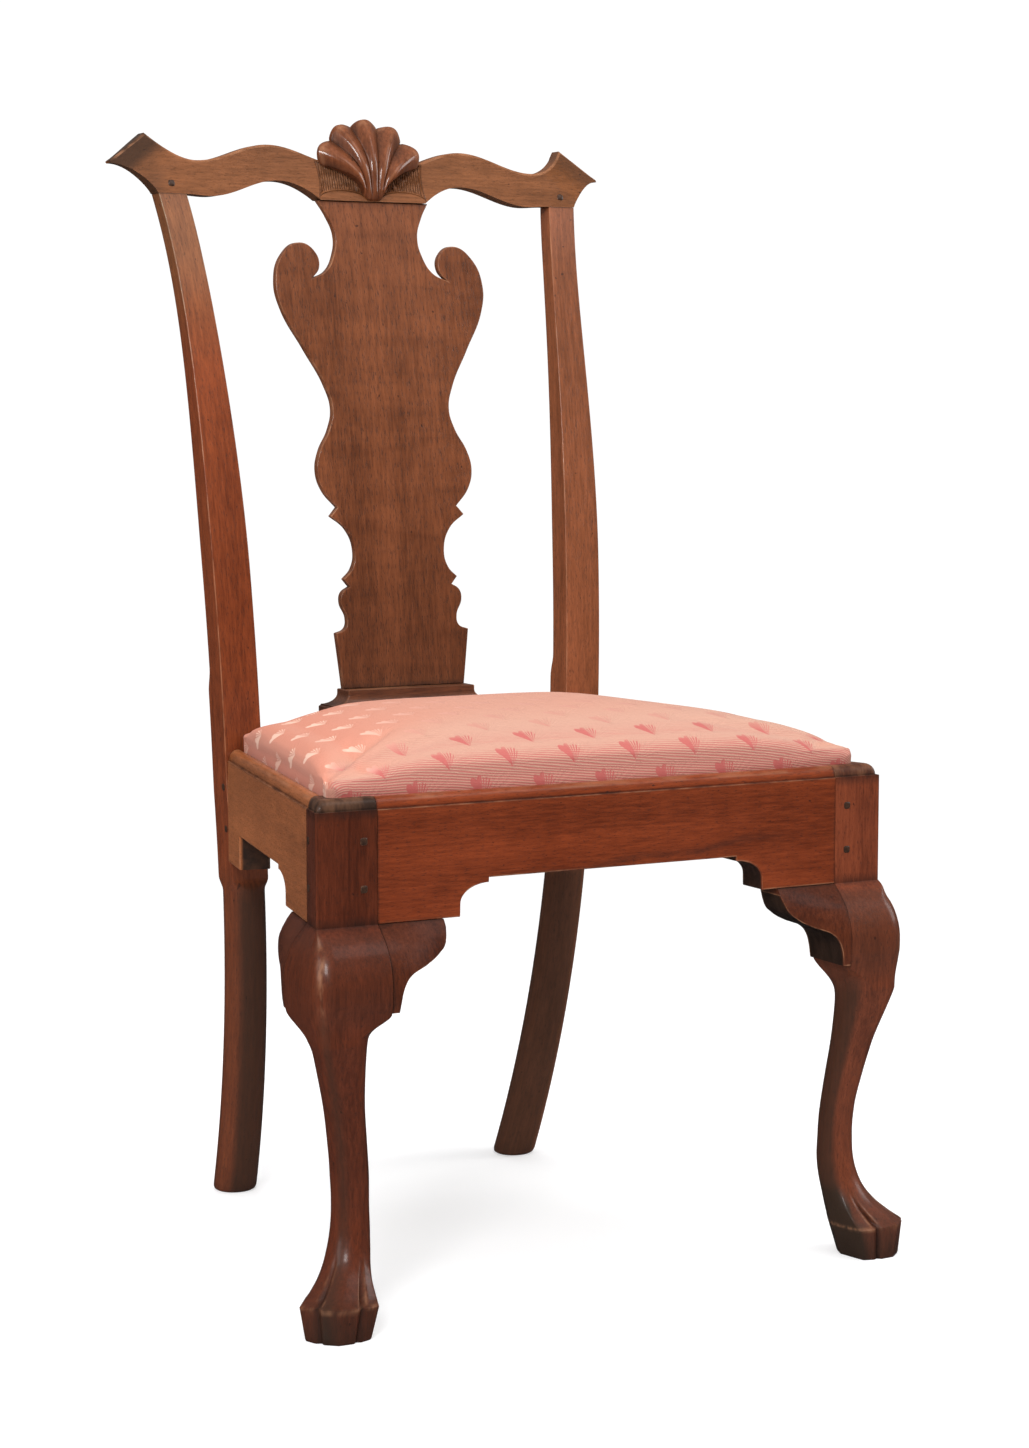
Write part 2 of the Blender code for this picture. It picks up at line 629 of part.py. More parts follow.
for sign, side in SIDES.items():
    bracket("front_bracket_" + side, Vector((sign * JOINT_X[sign], 0, 0)), Vector((-sign, 0, 0)),
            Vector((0, -1, 0)), 0.0, KNEE_FRONT, FRONT_KEEP)
    frame = side_frame(sign)
    along, inward = frame.col[0].to_3d(), frame.col[1].to_3d()
    start = Vector(side_point(sign, POST_SIDE, 0, 0))
    bracket("side_bracket_" + side, start, along, -inward, inward.y / along.y, KNEE_SEAM, SIDE_KEEP)

# Crest rail
crest_front_y = post_axis(CREST_JOINT)[1] - STILE_DEPTH / 2
stile_x = post_axis(CREST_JOINT)[0]
stile_in = stile_x - STILE_WIDTH / 2
stile_out = stile_x + STILE_WIDTH / 2
HUMP_TOP = CREST_JOINT + HUMP_RISE
TROUGH_X, TROUGH_TOP = stile_x - TROUGH_IN, CREST_JOINT + TROUGH_RISE
EAR_X, EAR_TOP = stile_x + EAR_OUT, CREST_JOINT + EAR_RISE
TIP_X, TIP_Z = stile_x + TIP_OUT, CREST_JOINT + TIP_RISE
BELLY_X, BELLY_Z = stile_in - BELLY_IN, CREST_JOINT - BELLY_DROP
ARCH_Z = CREST_JOINT + ARCH_RISE
CREST_FLAT = SPLAT_HALF - CREST_FLAT_IN


def crest_top(x):
    """Hump and trough as half cosines, then the ear and its slanting end."""
    x = abs(x)
    if x < TROUGH_X:
        wave = 0.5 + 0.5 * math.cos(math.pi * (x - HUMP_X) / (TROUGH_X - HUMP_X))
        return TROUGH_TOP + (HUMP_TOP - TROUGH_TOP) * wave
    if x < EAR_X:
        return TROUGH_TOP + (EAR_TOP - TROUGH_TOP) * ((x - TROUGH_X) / (EAR_X - TROUGH_X))**2
    return EAR_TOP + (TIP_Z + TIP_THICK - EAR_TOP) * (x - EAR_X) / (TIP_X - EAR_X)


def crest_bottom(x):
    """Flat over the splat, an arch, a belly, flat on the stile, then under the ear."""
    x = abs(x)
    if x < CREST_FLAT:
        return BELLY_Z
    if x < ARCH_X:
        return ARCH_Z + (BELLY_Z - ARCH_Z) * ((ARCH_X - x) / (ARCH_X - CREST_FLAT))**2
    if x < BELLY_X:
        wave = 0.5 + 0.5 * math.cos(math.pi * (x - ARCH_X) / (BELLY_X - ARCH_X))
        return BELLY_Z + (ARCH_Z - BELLY_Z) * wave
    if x < stile_in:
        return BELLY_Z + (CREST_JOINT - BELLY_Z) * ease((x - BELLY_X) / (stile_in - BELLY_X))
    if x < stile_out:
        return CREST_JOINT
    reach = (x - stile_out) / (TIP_X - stile_out)
    return CREST_JOINT + (TIP_Z - CREST_JOINT) * math.sin(reach * math.pi / 2)**0.8


def crest_face(x, z):
    """Front of the crest: tilted, with the ears swept back."""
    x = abs(x)
    base = crest_front_y + CREST_TILT * (z - CREST_JOINT)
    slope = np.array((EAR_TOP - TIP_Z, TIP_X - EAR_X))
    slope /= np.linalg.norm(slope)
    past = (x - TIP_X) * slope[0] + (z - TIP_Z) * slope[1] + EAR_REACH
    return base + EAR_SWEEP * max(0.0, past / EAR_REACH)**1.7


def crest_section(x):
    """Crest at one place: tilted front, eased edges, rounded back."""
    low, high = crest_bottom(x), crest_top(x)
    tall = high - low
    ease_edge = min(CREST_EASE, 0.3 * tall)
    thick = CREST_THICK * (1 - 0.45 * ease((abs(x) - stile_out) / (TIP_X - stile_out)))
    ring = []
    for share in (0.0, 0.25, 0.5, 0.75):
        z = low + (tall - ease_edge) * share
        ring.append((x, crest_face(x, z), z))
    z = high - ease_edge
    ring.append((x, crest_face(x, z), z))
    ring.append((x, crest_face(x, high) + ease_edge, high))
    back_low = crest_face(x, low) + thick
    back_high = crest_face(x, high) + thick
    ring.append((x, back_high - 0.35 * thick, high))
    ring.append((x, back_high - 0.06 * thick, high - 0.22 * tall))
    ring.append((x, (back_low + back_high) / 2, (low + high) / 2))
    ring.append((x, back_low - 0.04 * thick, low + 0.18 * tall))
    ring.append((x, back_low - 0.16 * thick, low))
    return ring


half_stations = sorted({0.0, CREST_FLAT / 2, *np.linspace(CREST_FLAT, ARCH_X, 7),
                        *np.linspace(ARCH_X, BELLY_X, 8)[1:], *np.linspace(TROUGH_X, stile_in, 3),
                        *np.linspace(stile_in, stile_out, 5)[1:], *np.linspace(EAR_X, TIP_X, 6)})
stations = [-x for x in half_stations[:0:-1]] + half_stations
crest = add_object("crest_rail", loft([crest_section(x) for x in stations]), WALNUT)


def shell_lobe(s):
    """Rounded profile across each lobe: 1 on its crown, 0 in the grooves."""
    u = (s + 1) * SHELL_LOBES / 2
    u = 2 * (u - np.floor(np.minimum(u, SHELL_LOBES - 1e-9))) - 1
    return np.sqrt(np.maximum(0.0, 1 - np.abs(u)**2.2))


def shell_sheet(lobe_points, rows, front):
    """Grid of the shell: fanned lines from the foot to a scalloped edge."""
    s = np.linspace(-1, 1, SHELL_LOBES * lobe_points + 1)[None, :]
    t = np.linspace(0, 1, rows)[:, None]
    lobe = shell_lobe(s)
    reach = SHELL_RADIUS + SHELL_SIDE * np.abs(s) - SHELL_NOTCH * (1 - lobe)
    angle = SHELL_SPREAD * s
    foot = (SHELL_FOOT_HALF * s, CREST_JOINT + SHELL_FOOT_RISE + 0 * s)
    bend = (SHELL_BEND_HALF * s, CREST_JOINT + SHELL_WAIST_RISE - SHELL_DIP * s**2)
    tip = (reach * np.sin(angle), CREST_JOINT + SHELL_HUB_RISE + reach * np.cos(angle))
    x, z = ((1 - t)**2 * a + 2 * t * (1 - t) * b + t**2 * c for a, b, c in zip(foot, bend, tip))
    roll = SHELL_CURL * np.maximum(0.0, (t - 0.55) / 0.45)**2.2
    plane = crest_front_y + CREST_TILT * (z - CREST_JOINT)
    lift = SHELL_RISE * (0.45 + 0.55 * ease(t / 0.5)) * (1 - 0.25 * ease((t - 0.5) / 0.5))
    depth = plane - lift - SHELL_RIB * lobe * (0.25 + 0.75 * t) * (1 - 0.35 * t**6) + roll
    if not front:
        flat = plane + SHELL_BACK
        rim = depth + SHELL_EDGE
        depth = flat + (np.minimum(rim, flat) - flat) * ease((t - 0.6) / 0.4)
    return np.stack((x, depth, z), axis=-1)


def shell_body():
    """Closed shell: carved front, plain back, edges joined."""
    front = shell_sheet(6, 10, True)
    back = shell_sheet(6, 10, False)
    rows, columns = front.shape[:2]
    bm = bmesh.new()
    grids = [[[bm.verts.new(p) for p in row] for row in sheet] for sheet in (front, back)]
    for grid in grids:
        for i in range(rows - 1):
            for j in range(columns - 1):
                bm.faces.new((grid[i][j], grid[i][j + 1], grid[i + 1][j + 1], grid[i + 1][j]))
    rim = [(0, j) for j in range(columns)] + [(i, columns - 1) for i in range(1, rows)]
    rim += [(rows - 1, j) for j in range(columns - 2, -1, -1)] + [(i, 0) for i in range(rows - 2, 0, -1)]
    for (a, b), (c, d) in zip(rim, rim[1:] + rim[:1]):
        bm.faces.new((grids[0][a][b], grids[0][c][d], grids[1][c][d], grids[1][a][b]))
    return bm


shell = add_object("shell_block", shell_body())
combine(crest, shell, 'UNION')

# Splat: half outline as shares of the width and of the height from shoe to crest, corner or smooth
SPLAT_FOOT = SHOE_TOP + GAP
SPLAT_TOP = BELLY_Z - GAP
SPLAT_OUTLINE = (
    (SPLAT_HALF / SPLAT_WIDE, 1.0, "corner"), (0.4545, 0.9680, "smooth"), (0.3989, 0.9284, "smooth"),
    (0.4267, 0.8887, "smooth"), (0.5148, 0.8545, "smooth"), (0.6494, 0.8391, "corner"),
    (0.5770, 0.8622, "smooth"), (0.6030, 0.8931, "smooth"), (0.7421, 0.9118, "smooth"),
    (0.9137, 0.8865, "smooth"), (1.0000, 0.8313, "smooth"), (0.9647, 0.7762, "smooth"),
    (0.7792, 0.6925, "smooth"), (0.6141, 0.6197, "smooth"), (0.5622, 0.5712, "smooth"),
    (0.6076, 0.5293, "smooth"), (0.7096, 0.4852, "smooth"), (0.7468, 0.4455, "smooth"),
    (0.7004, 0.4059, "smooth"), (0.5751, 0.3706, "corner"), (0.6419, 0.3530, "corner"),
    (0.4963, 0.3243, "smooth"), (0.4314, 0.2802, "smooth"), (0.4638, 0.2449, "smooth"),
    (0.5473, 0.2240, "corner"), (0.4935, 0.2086, "corner"), (0.5659, 0.1964, "smooth"),
    (0.5826, 0.1766, "smooth"), (0.5306, 0.1435, "smooth"), (0.5473, 0.1237, "smooth"),
    (0.6382, 0.1138, "corner"), (SPLAT_FOOT_HALF / SPLAT_WIDE, 0.0, "corner"))


def outline_points(half):
    """Both sides of a symmetrical outline, drawn as one closed curve."""
    data = bpy.data.curves.new("outline", 'CURVE')
    data.resolution_u = 3
    spline = data.splines.new('BEZIER')
    whole = list(half) + [(-x, t, kind) for x, t, kind in half[::-1]]
    spline.bezier_points.add(len(whole) - 1)
    spline.use_cyclic_u = True
    for point, (x, t, kind) in zip(spline.bezier_points, whole):
        point.co = (SPLAT_WIDE * x, 0, SPLAT_FOOT + (SPLAT_TOP - SPLAT_FOOT) * t)
        handle = 'VECTOR' if kind == "corner" else 'AUTO'
        point.handle_left_type = handle
        point.handle_right_type = handle
    holder = bpy.data.objects.new("outline", data)
    bpy.context.scene.collection.objects.link(holder)
    bpy.context.view_layer.update()
    mesh = bpy.data.meshes.new_from_object(holder)
    places = [v.co.copy() for v in mesh.vertices]
    bpy.data.objects.remove(holder, do_unlink=True)
    bpy.data.meshes.remove(mesh)
    return places


SPLAT_BASE_Y = rear_y + SPLAT_BASE_BACK
splat_height = SPLAT_TOP - SHOE_TOP
splat_back = crest_face(0, SPLAT_TOP) + SPLAT_SET_BACK - SPLAT_BASE_Y - SPLAT_LEAN * splat_height


def splat_face(z):
    """Front of the splat: leaning, and curved back to meet the crest."""
    rise = z - SHOE_TOP
    return SPLAT_BASE_Y + SPLAT_LEAN * rise + splat_back * rise * abs(rise) / splat_height**2


splat_line = outline_points(SPLAT_OUTLINE)
bm = prism(splat_line, (0, SPLAT_THICK, 0))
tongue = CREST_FLAT - SPLAT_TENON_IN
tenon_set = SPLAT_THICK - SPLAT_TENON_THICK - SPLAT_TENON_BACK
for z in np.linspace(SPLAT_FOOT, SPLAT_TOP, 28)[1:-1]:
    geom = bm.verts[:] + bm.edges[:] + bm.faces[:]
    bmesh.ops.bisect_plane(bm, geom=geom, dist=0.00002, plane_co=(0, 0, z), plane_no=(0, 0, 1))
for v in bm.verts:
    v.co.y += splat_face(v.co.z)
splat = add_object("splat", bm, WALNUT)
top_y = splat_face(SPLAT_TOP) + tenon_set
base_y = splat_face(SHOE_TOP) + tenon_set


def splat_tenon(name, low, high, half, y, spare):
    """Tongue or mortise of the splat, spare being its clearance."""
    back = y + SPLAT_TENON_THICK + spare
    return add_object(name, box((-half - spare, y - spare, low), (half + spare, back, high)))


tongue_top = SPLAT_TOP + SPLAT_TONGUE
tool = splat_tenon("splat_tongue", SPLAT_TOP - SPLAT_ROOT, tongue_top, tongue, top_y, 0)
combine(splat, tool, 'UNION')
tool = splat_tenon("crest_groove", BELLY_Z - CUT_OVER, tongue_top + FIT, tongue, top_y, FIT)
combine(crest, tool)
foot = SPLAT_FOOT_HALF - SPLAT_TENON_IN
tool = splat_tenon("splat_tenon", SHOE_TOP - SPLAT_TENON, SPLAT_FOOT + SPLAT_ROOT, foot, base_y, 0)
combine(splat, tool, 'UNION')

# Shoe under the splat
shoe_front = rear_y - SHOE_PROUD
shoe_back = splat_face(SHOE_TOP) + SPLAT_THICK + SHOE_WALL
shoe_base = SHOE_FLARE + SHOE_FILLET
cove_top = SHOE_TOP - SHOE_RIM
cove_low = cove_top - SHOE_COVE
shoe_steps = [(shoe_base, SEAT_TOP + GAP), (shoe_base, cove_low - SHOE_FILLET),
              (SHOE_FLARE, cove_low - SHOE_FILLET / 2)]
for a in np.linspace(0, math.pi / 2, 7):
    shoe_steps.append((SHOE_FLARE * (1 - math.sin(a)), cove_top - SHOE_COVE * math.cos(a)))
shoe_steps.append((0.0, SHOE_TOP))
rings = []
for grow, z in shoe_steps:
    x = SHOE_HALF + grow
    y = shoe_front + SHOE_FRONT_SHARE * (shoe_base - grow)
    rings.append([(-x, y, z), (x, y, z), (x, shoe_back, z), (-x, shoe_back, z)])
shoe = add_object("shoe", loft(rings), WALNUT)
tool = splat_tenon("shoe_mortise", SHOE_TOP - SPLAT_TENON - FIT, SHOE_TOP + CUT_OVER, foot, base_y, FIT)
combine(shoe, tool)


def joint(name, low, high, frame, tenoned, mortised, clear=FIT):
    """Tenon added to one piece and its mortise cut in the other."""
    combine(tenoned, add_object(name + "_tenon", box(low, high, frame)), 'UNION')
    low = [a - clear for a in low]
    high = [b + clear for b in high]
    combine(mortised, add_object(name + "_mortise", box(low, high, frame)))


def peg(name, place, axis, holed, length=PEG_LENGTH):
    """Peg and its hole through a joint."""
    axis = Vector(axis).normalized()
    start = Vector(place) - axis * PEG_PROUD
    add_object(name, rod(start, axis, length, PEG_RADIUS), PEG_WOOD)
    start = Vector(place) - axis * CUT_OVER
    deep = CUT_OVER + length - PEG_PROUD + FIT
    hole = add_object(name + "_hole", rod(start, axis, deep, PEG_RADIUS + FIT))
    for piece in holed:
        combine(piece, hole)


TENON_LOW = RAIL_BASE + TENON_SHOULDER
TENON_HIGH = LEDGE - TENON_COVER
IDENTITY = Matrix.Identity(4)
PEG_HEIGHTS = {"lower": RAIL_BASE + PEG_LOW, "upper": RAIL_BASE + PEG_LOW + PEG_APART}
for sign, side in SIDES.items():
    frame = side_frame(sign)
    # Front rail into the front leg
    inner, outer = JOINT_X[sign] - TENON_ROOT, JOINT_X[sign] + FRONT_TENON
    x0, x1 = sorted((sign * inner, sign * outer))
    joint("front_rail_" + side, (x0, FRONT_TENON_SET, TENON_LOW),
          (x1, FRONT_TENON_SET + TENON_THICK, TENON_HIGH), IDENTITY, front_rail, legs[sign])
    # Side rail into the front leg, then into the rear post
    start = POST_SIDE / math.cos(SIDE_ANGLE)
    end = SIDE_RUN / math.cos(SIDE_ANGLE)
    joint("side_rail_front_" + side, (start - SIDE_TENON, SIDE_TENON_SET, TENON_LOW),
          (start + TENON_ROOT, SIDE_TENON_SET + TENON_THICK, TENON_HIGH), frame, side_rails[sign], legs[sign])
    joint("side_rail_back_" + side, (end - TENON_ROOT, SIDE_TENON_SET, TENON_LOW),
          (end + BACK_TENON, SIDE_TENON_SET + TENON_THICK, TENON_HIGH), frame, side_rails[sign], posts[sign])
    # Rear rail into the rear post
    middle = rear_y + REAR_THICK / 2
    x0, x1 = sorted((sign * (half - TENON_ROOT), sign * (half + REAR_TENON)))
    joint("rear_rail_" + side, (x0, middle - TENON_THICK / 2, TENON_LOW),
          (x1, middle + TENON_THICK / 2, TENON_HIGH), IDENTITY, rear_rail, posts[sign])
    # Stile into the crest
    wide, deep = STILE_TENON_WIDE / 2, STILE_TENON_THICK / 2
    middle = post_axis(CREST_JOINT)[1] + STILE_TENON_BACK
    joint("stile_" + side, (sign * stile_x - wide, middle - deep, CREST_JOINT - TENON_ROOT),
          (sign * stile_x + wide, middle + deep, CREST_JOINT + STILE_TENON), IDENTITY, posts[sign], crest)
    # Pegs
    along, inward = frame.col[0].to_3d(), frame.col[1].to_3d()
    for level, z in PEG_HEIGHTS.items():
        peg("front_rail_peg_%s_%s" % (level, side), (sign * (JOINT_X[sign] + PEG_IN), 0, z), (0, 1, 0),
            (legs[sign], front_rail))
        place = side_point(sign, POST_SIDE - PEG_SIDE_IN, 0, z)
        peg("side_rail_peg_%s_%s" % (level, side), place, inward, (legs[sign], side_rails[sign]))
        place = (sign * (post_axis(z)[0] + POST_WIDTH / 2), POST_FRONT + PEG_BACK_IN, z)
        peg("rear_post_peg_%s_%s" % (level, side), place, (-sign, 0, 0), (posts[sign], side_rails[sign]))
    z = CREST_JOINT + CREST_PEG_UP
    peg("crest_peg_" + side, (sign * stile_x, crest_face(stile_x, z), z), (0, 1, -CREST_PEG_DROP),
        (crest, posts[sign]), CREST_THICK - CREST_PEG_SHORT)

# Glue blocks behind the front corners
for sign, side in SIDES.items():
    corner = Vector(side_point(sign, POST_SIDE + GAP, SIDE_THICK + GAP, 0))
    along = side_frame(sign).col[0].to_3d()
    across = Vector((-sign, 0, 0))
    sweep = [math.cos(a) * across + math.sin(a) * along for a in np.linspace(0, math.pi / 2, 7)]
    outline = [corner] + [corner + BLOCK_RADIUS * d for d in sweep]
    line = [(p.x, p.y, RAIL_BASE + CUT_RISE) for p in outline]
    add_object("glue_block_" + side, prism(line, (0, 0, TENON_HIGH - RAIL_BASE - CUT_RISE)), SECONDARY)


def seat_corners(inset):
    """Corners of the drop-in seat, set in from the lips and the rear posts."""
    edge = LIP_WIDTH + SEAT_CLEAR + inset
    rear = POST_FRONT - SEAT_CLEAR - inset
    front_x = side_point(1, edge, edge, 0)[0]
    rear_x = side_point(1, rear, edge, 0)[0]
    return [(-front_x, edge), (front_x, edge), (rear_x, rear), (-rear_x, rear)]


def seat_ring(inset, z, radius, draw=0.0, shrink=1.0):
    """Rounded outline of the seat, its sides drawn in and scaled about its middle."""
    corners = seat_corners(inset)
    ring = rounded(corners, [radius] * 4, z, 4, flats=True)
    filled = []
    for a, b in zip(ring, np.roll(ring, -1, axis=0)):
        filled.append(a)
        if np.linalg.norm(b - a) > 0.1:
            filled += [a + (b - a) * s for s in np.linspace(0, 1, 9)[1:-1]]
    ring = np.array(filled)
    middle = np.mean(np.array(corners), axis=0)
    away = ring[:, :2] - middle
    reach_x = np.abs(away[:, 0]) / np.abs(away[:, 0]).max()
    reach_y = np.abs(away[:, 1]) / np.abs(away[:, 1]).max()
    pull = 1 - draw * (1 - np.minimum(reach_x, reach_y)**2) / np.linalg.norm(away, axis=1)
    ring[:, :2] = middle + away * pull[:, None] * shrink
    return ring


frame_base = LEDGE + GAP + COVER_THICK + GAP
frame_top = frame_base + FRAME_THICK
web_level = frame_top + GAP + WEB_WAVE + WEB_THICK / 2
pad_base = web_level + WEB_WAVE + WEB_THICK / 2 + GAP
CROWN_RINGS = (1.0, 0.985, 0.955, 0.90, 0.82, 0.71, 0.57, 0.41, 0.24, 0.10)


def crown(inset, drop):
    """Rings of the crowned top from the edge to the middle."""
    rings = []
    for shrink in CROWN_RINGS:
        rise = (1 - shrink**3)**0.7
        z = SEAT_TOP + CUSHION_EDGE + CUSHION_CROWN * rise - drop
        rings.append(seat_ring(inset, z, COVER_ROUND, CUSHION_DRAW * ease((1 - shrink) / 0.05), shrink))
    return rings


# Seat cover, turned under the frame, and the stuffing inside it
outside = crown(0.0, 0.0)[::-1] + [seat_ring(0.0, LEDGE + GAP + COVER_EASE, COVER_ROUND),
                                   seat_ring(COVER_EASE, LEDGE + GAP, COVER_ROUND)]
under = [seat_ring(COVER_TURN, LEDGE + GAP, COVER_ROUND),
         seat_ring(COVER_TURN, LEDGE + GAP + COVER_THICK, COVER_ROUND)]
inside = [seat_ring(COVER_THICK, LEDGE + GAP + COVER_THICK, COVER_ROUND)]
inside += crown(COVER_THICK, COVER_THICK)
add_object("seat_cover", loft(outside + under + inside), SILK, smooth=True)
pad_in = COVER_THICK + GAP
pad_rings = crown(pad_in, COVER_THICK + GAP)[1:]
pad_foot = np.column_stack((pad_rings[0][:, :2], np.full(len(pad_rings[0]), pad_base)))
add_object("seat_stuffing", loft([pad_foot] + pad_rings), HAIR, smooth=True)

# Seat frame: front and back members with the sides tenoned between
frame_in = COVER_THICK + GAP
corners = seat_corners(frame_in)


def frame_member(name, y, side):
    """Cross member: the seat's outline kept on one side of a line."""
    bm = prism(seat_ring(frame_in, frame_base, COVER_ROUND), (0, 0, FRAME_THICK))
    cut = bmesh.ops.bisect_plane(bm, geom=bm.verts[:] + bm.edges[:] + bm.faces[:], dist=0.00001,
                                 plane_co=(0, y, 0), plane_no=(0, side, 0), clear_outer=True)
    rim = [e for e in cut["geom_cut"] if isinstance(e, bmesh.types.BMEdge)]
    bmesh.ops.edgeloop_fill(bm, edges=rim)
    return add_object(name, bm, SECONDARY)


front_y, back_y = corners[0][1], corners[2][1]
seat_front = frame_member("seat_frame_front", front_y + FRAME_WIDTH, 1)
seat_back = frame_member("seat_frame_back", back_y - FRAME_WIDTH, -1)
for sign, side in SIDES.items():
    set_in = LIP_WIDTH + SEAT_CLEAR + frame_in
    near, far = front_y + FRAME_WIDTH + GAP, back_y - FRAME_WIDTH - GAP
    line = [side_point(sign, near, set_in, frame_base), side_point(sign, far, set_in, frame_base),
            side_point(sign, far, set_in + FRAME_WIDTH, frame_base),
            side_point(sign, near, set_in + FRAME_WIDTH, frame_base)]
    member = add_object("seat_frame_" + side, prism(line, (0, 0, FRAME_THICK)), SECONDARY)
    frame = side_frame(sign)
    level = frame_base + (FRAME_THICK - FRAME_TENON_THICK) / 2
    low_in, high_in = set_in + FRAME_TENON_IN, set_in + FRAME_WIDTH - FRAME_TENON_IN
    start = (front_y + FRAME_WIDTH) / math.cos(SIDE_ANGLE)
    end = (back_y - FRAME_WIDTH) / math.cos(SIDE_ANGLE)
    joint("seat_front_" + side, (start - FRAME_TENON, low_in, level),
          (start + TENON_ROOT, high_in, level + FRAME_TENON_THICK), frame, member, seat_front)
    joint("seat_back_" + side, (end - TENON_ROOT, low_in, level),
          (end + FRAME_TENON, high_in, level + FRAME_TENON_THICK), frame, member, seat_back)

# Webbing, woven over and under across the frame
web_front, web_back = front_y + WEB_END, back_y - WEB_END
web_half = corners[2][0] - WEB_END
web_y = np.linspace(front_y + FRAME_WIDTH, back_y - FRAME_WIDTH, 2 * WEB_COUNT + 1)[1::2]
web_x = np.linspace(-web_half, web_half, 2 * WEB_COUNT + 1)[1::2]


def web_strip(path, across, phase, crossings):
    """Flat strip along a path that rises and dips at its crossings."""
    rings = []
    a, b = across - WEB_WIDTH / 2, across + WEB_WIDTH / 2
    spread = crossings[1] - crossings[0]
    for place in path:
        wave = math.cos(math.pi * (place - crossings[0]) / spread + phase)
        inside = float(ease((place - path[0]) / WEB_FADE) * ease((path[-1] - place) / WEB_FADE))
        z = web_level + WEB_WAVE * wave * inside
        low, high = z - WEB_THICK / 2, z + WEB_THICK / 2
        rings.append([(place, a, low), (place, b, low), (place, b, high), (place, a, high)])
    return rings


for k in range(WEB_COUNT):
    y = web_y[k]
    reach = side_point(1, y + WEB_WIDTH / 2, LIP_WIDTH + SEAT_CLEAR + frame_in + WEB_END, 0)[0]
    strip = web_strip(np.linspace(-reach, reach, 19), y, math.pi * k, web_x)
    add_object("webbing_cross_%d" % (k + 1), loft(strip), JUTE)
    strip = web_strip(np.linspace(web_front, web_back, 19), web_x[k], math.pi * (k + 1), web_y)
    strip = [[(b, a, z) for a, b, z in ring] for ring in strip]
    add_object("webbing_long_%d" % (k + 1), loft(strip), JUTE)

# Rabbet for the seat in the front posts
for sign, side in SIDES.items():
    corners = seat_corners(-SEAT_CLEAR)
    line = [(x, y, LEDGE) for x, y in corners]
    combine(legs[sign], add_object("seat_rabbet_" + side, prism(line, (0, 0, RABBET_DEPTH + CUT_OVER))))

# Centre the chair over the origin
bpy.context.view_layer.update()
graph = bpy.context.evaluated_depsgraph_get()
spans = []
for ob in parts.objects:
    shape = ob.evaluated_get(graph)
    spans += [ob.matrix_world @ Vector(c) for c in shape.bound_box]
low = [min(p[k] for p in spans) for k in range(3)]
high = [max(p[k] for p in spans) for k in range(3)]
shift = Matrix.Translation((-(low[0] + high[0]) / 2, -(low[1] + high[1]) / 2, -low[2]))
for ob in list(parts.objects) + list(cutters.objects):
    ob.data.transform(shift)
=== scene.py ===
"""Looks of a walnut side chair with a carved shell, a shaped splat and a silk drop-in seat.

Shapes are worked out with Y = 0 on the front rail's face, as the solids are, and moved
by SHIFT when a mesh is made.  Left and right are the viewer's, from the front.
"""
import math

import bmesh
import bpy
import numpy as np
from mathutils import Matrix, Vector


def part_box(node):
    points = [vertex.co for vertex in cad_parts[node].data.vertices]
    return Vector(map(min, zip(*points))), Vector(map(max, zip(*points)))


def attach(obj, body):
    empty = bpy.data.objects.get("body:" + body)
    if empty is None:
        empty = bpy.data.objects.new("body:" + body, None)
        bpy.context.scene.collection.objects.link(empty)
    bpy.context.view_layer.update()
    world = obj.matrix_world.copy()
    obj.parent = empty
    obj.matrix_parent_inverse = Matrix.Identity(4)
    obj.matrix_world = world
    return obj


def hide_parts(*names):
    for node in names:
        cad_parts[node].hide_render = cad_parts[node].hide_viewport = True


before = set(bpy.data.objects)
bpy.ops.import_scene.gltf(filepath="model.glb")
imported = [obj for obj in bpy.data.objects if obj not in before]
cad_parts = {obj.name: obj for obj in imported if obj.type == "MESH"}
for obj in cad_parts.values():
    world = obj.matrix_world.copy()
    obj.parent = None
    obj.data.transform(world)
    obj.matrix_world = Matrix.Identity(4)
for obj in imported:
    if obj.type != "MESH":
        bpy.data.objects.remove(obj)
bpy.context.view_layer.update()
scene = bpy.context.scene
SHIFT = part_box("front_rail")[0].y

# Sizes of the frame
SEAT_TOP, RAIL_HEIGHT, RABBET_DEPTH = 0.4315, 0.102, 0.013
RAIL_BASE = SEAT_TOP - RAIL_HEIGHT
RAIL_MIDDLE = SEAT_TOP - RAIL_HEIGHT / 2
LEDGE = SEAT_TOP - RABBET_DEPTH
CORNER_X = 0.2695
FRONT_THICK, SIDE_THICK, REAR_THICK = 0.032, 0.028, 0.029
REAR_SET_BACK = 0.003
POST_SIDE = 0.033
MOULD_HEIGHT, MOULD_WIDTH, MOULD_FILLET, MOULD_STEP = 0.0098, 0.0085, 0.0016, 0.0006
LIP_WIDTH = 0.012
CORNER_ROUND = 0.005
CUT_RISE, CUT_STEP, CUT_LIFT, CUT_WALL = 0.0305, 0.004, 0.010, 0.00025
FRONT_CUT, FRONT_COVE = 0.0735, 0.026
SIDE_CUT, SIDE_CUT_BACK, SIDE_COVE = 0.084, 0.052, 0.029
GAP = 0.0003
POST_FACE = {-1: 0.054, 1: 0.0465}
JOINT_X = {sign: CORNER_X - face for sign, face in POST_FACE.items()}
SIDES = {-1: "left", 1: "right"}

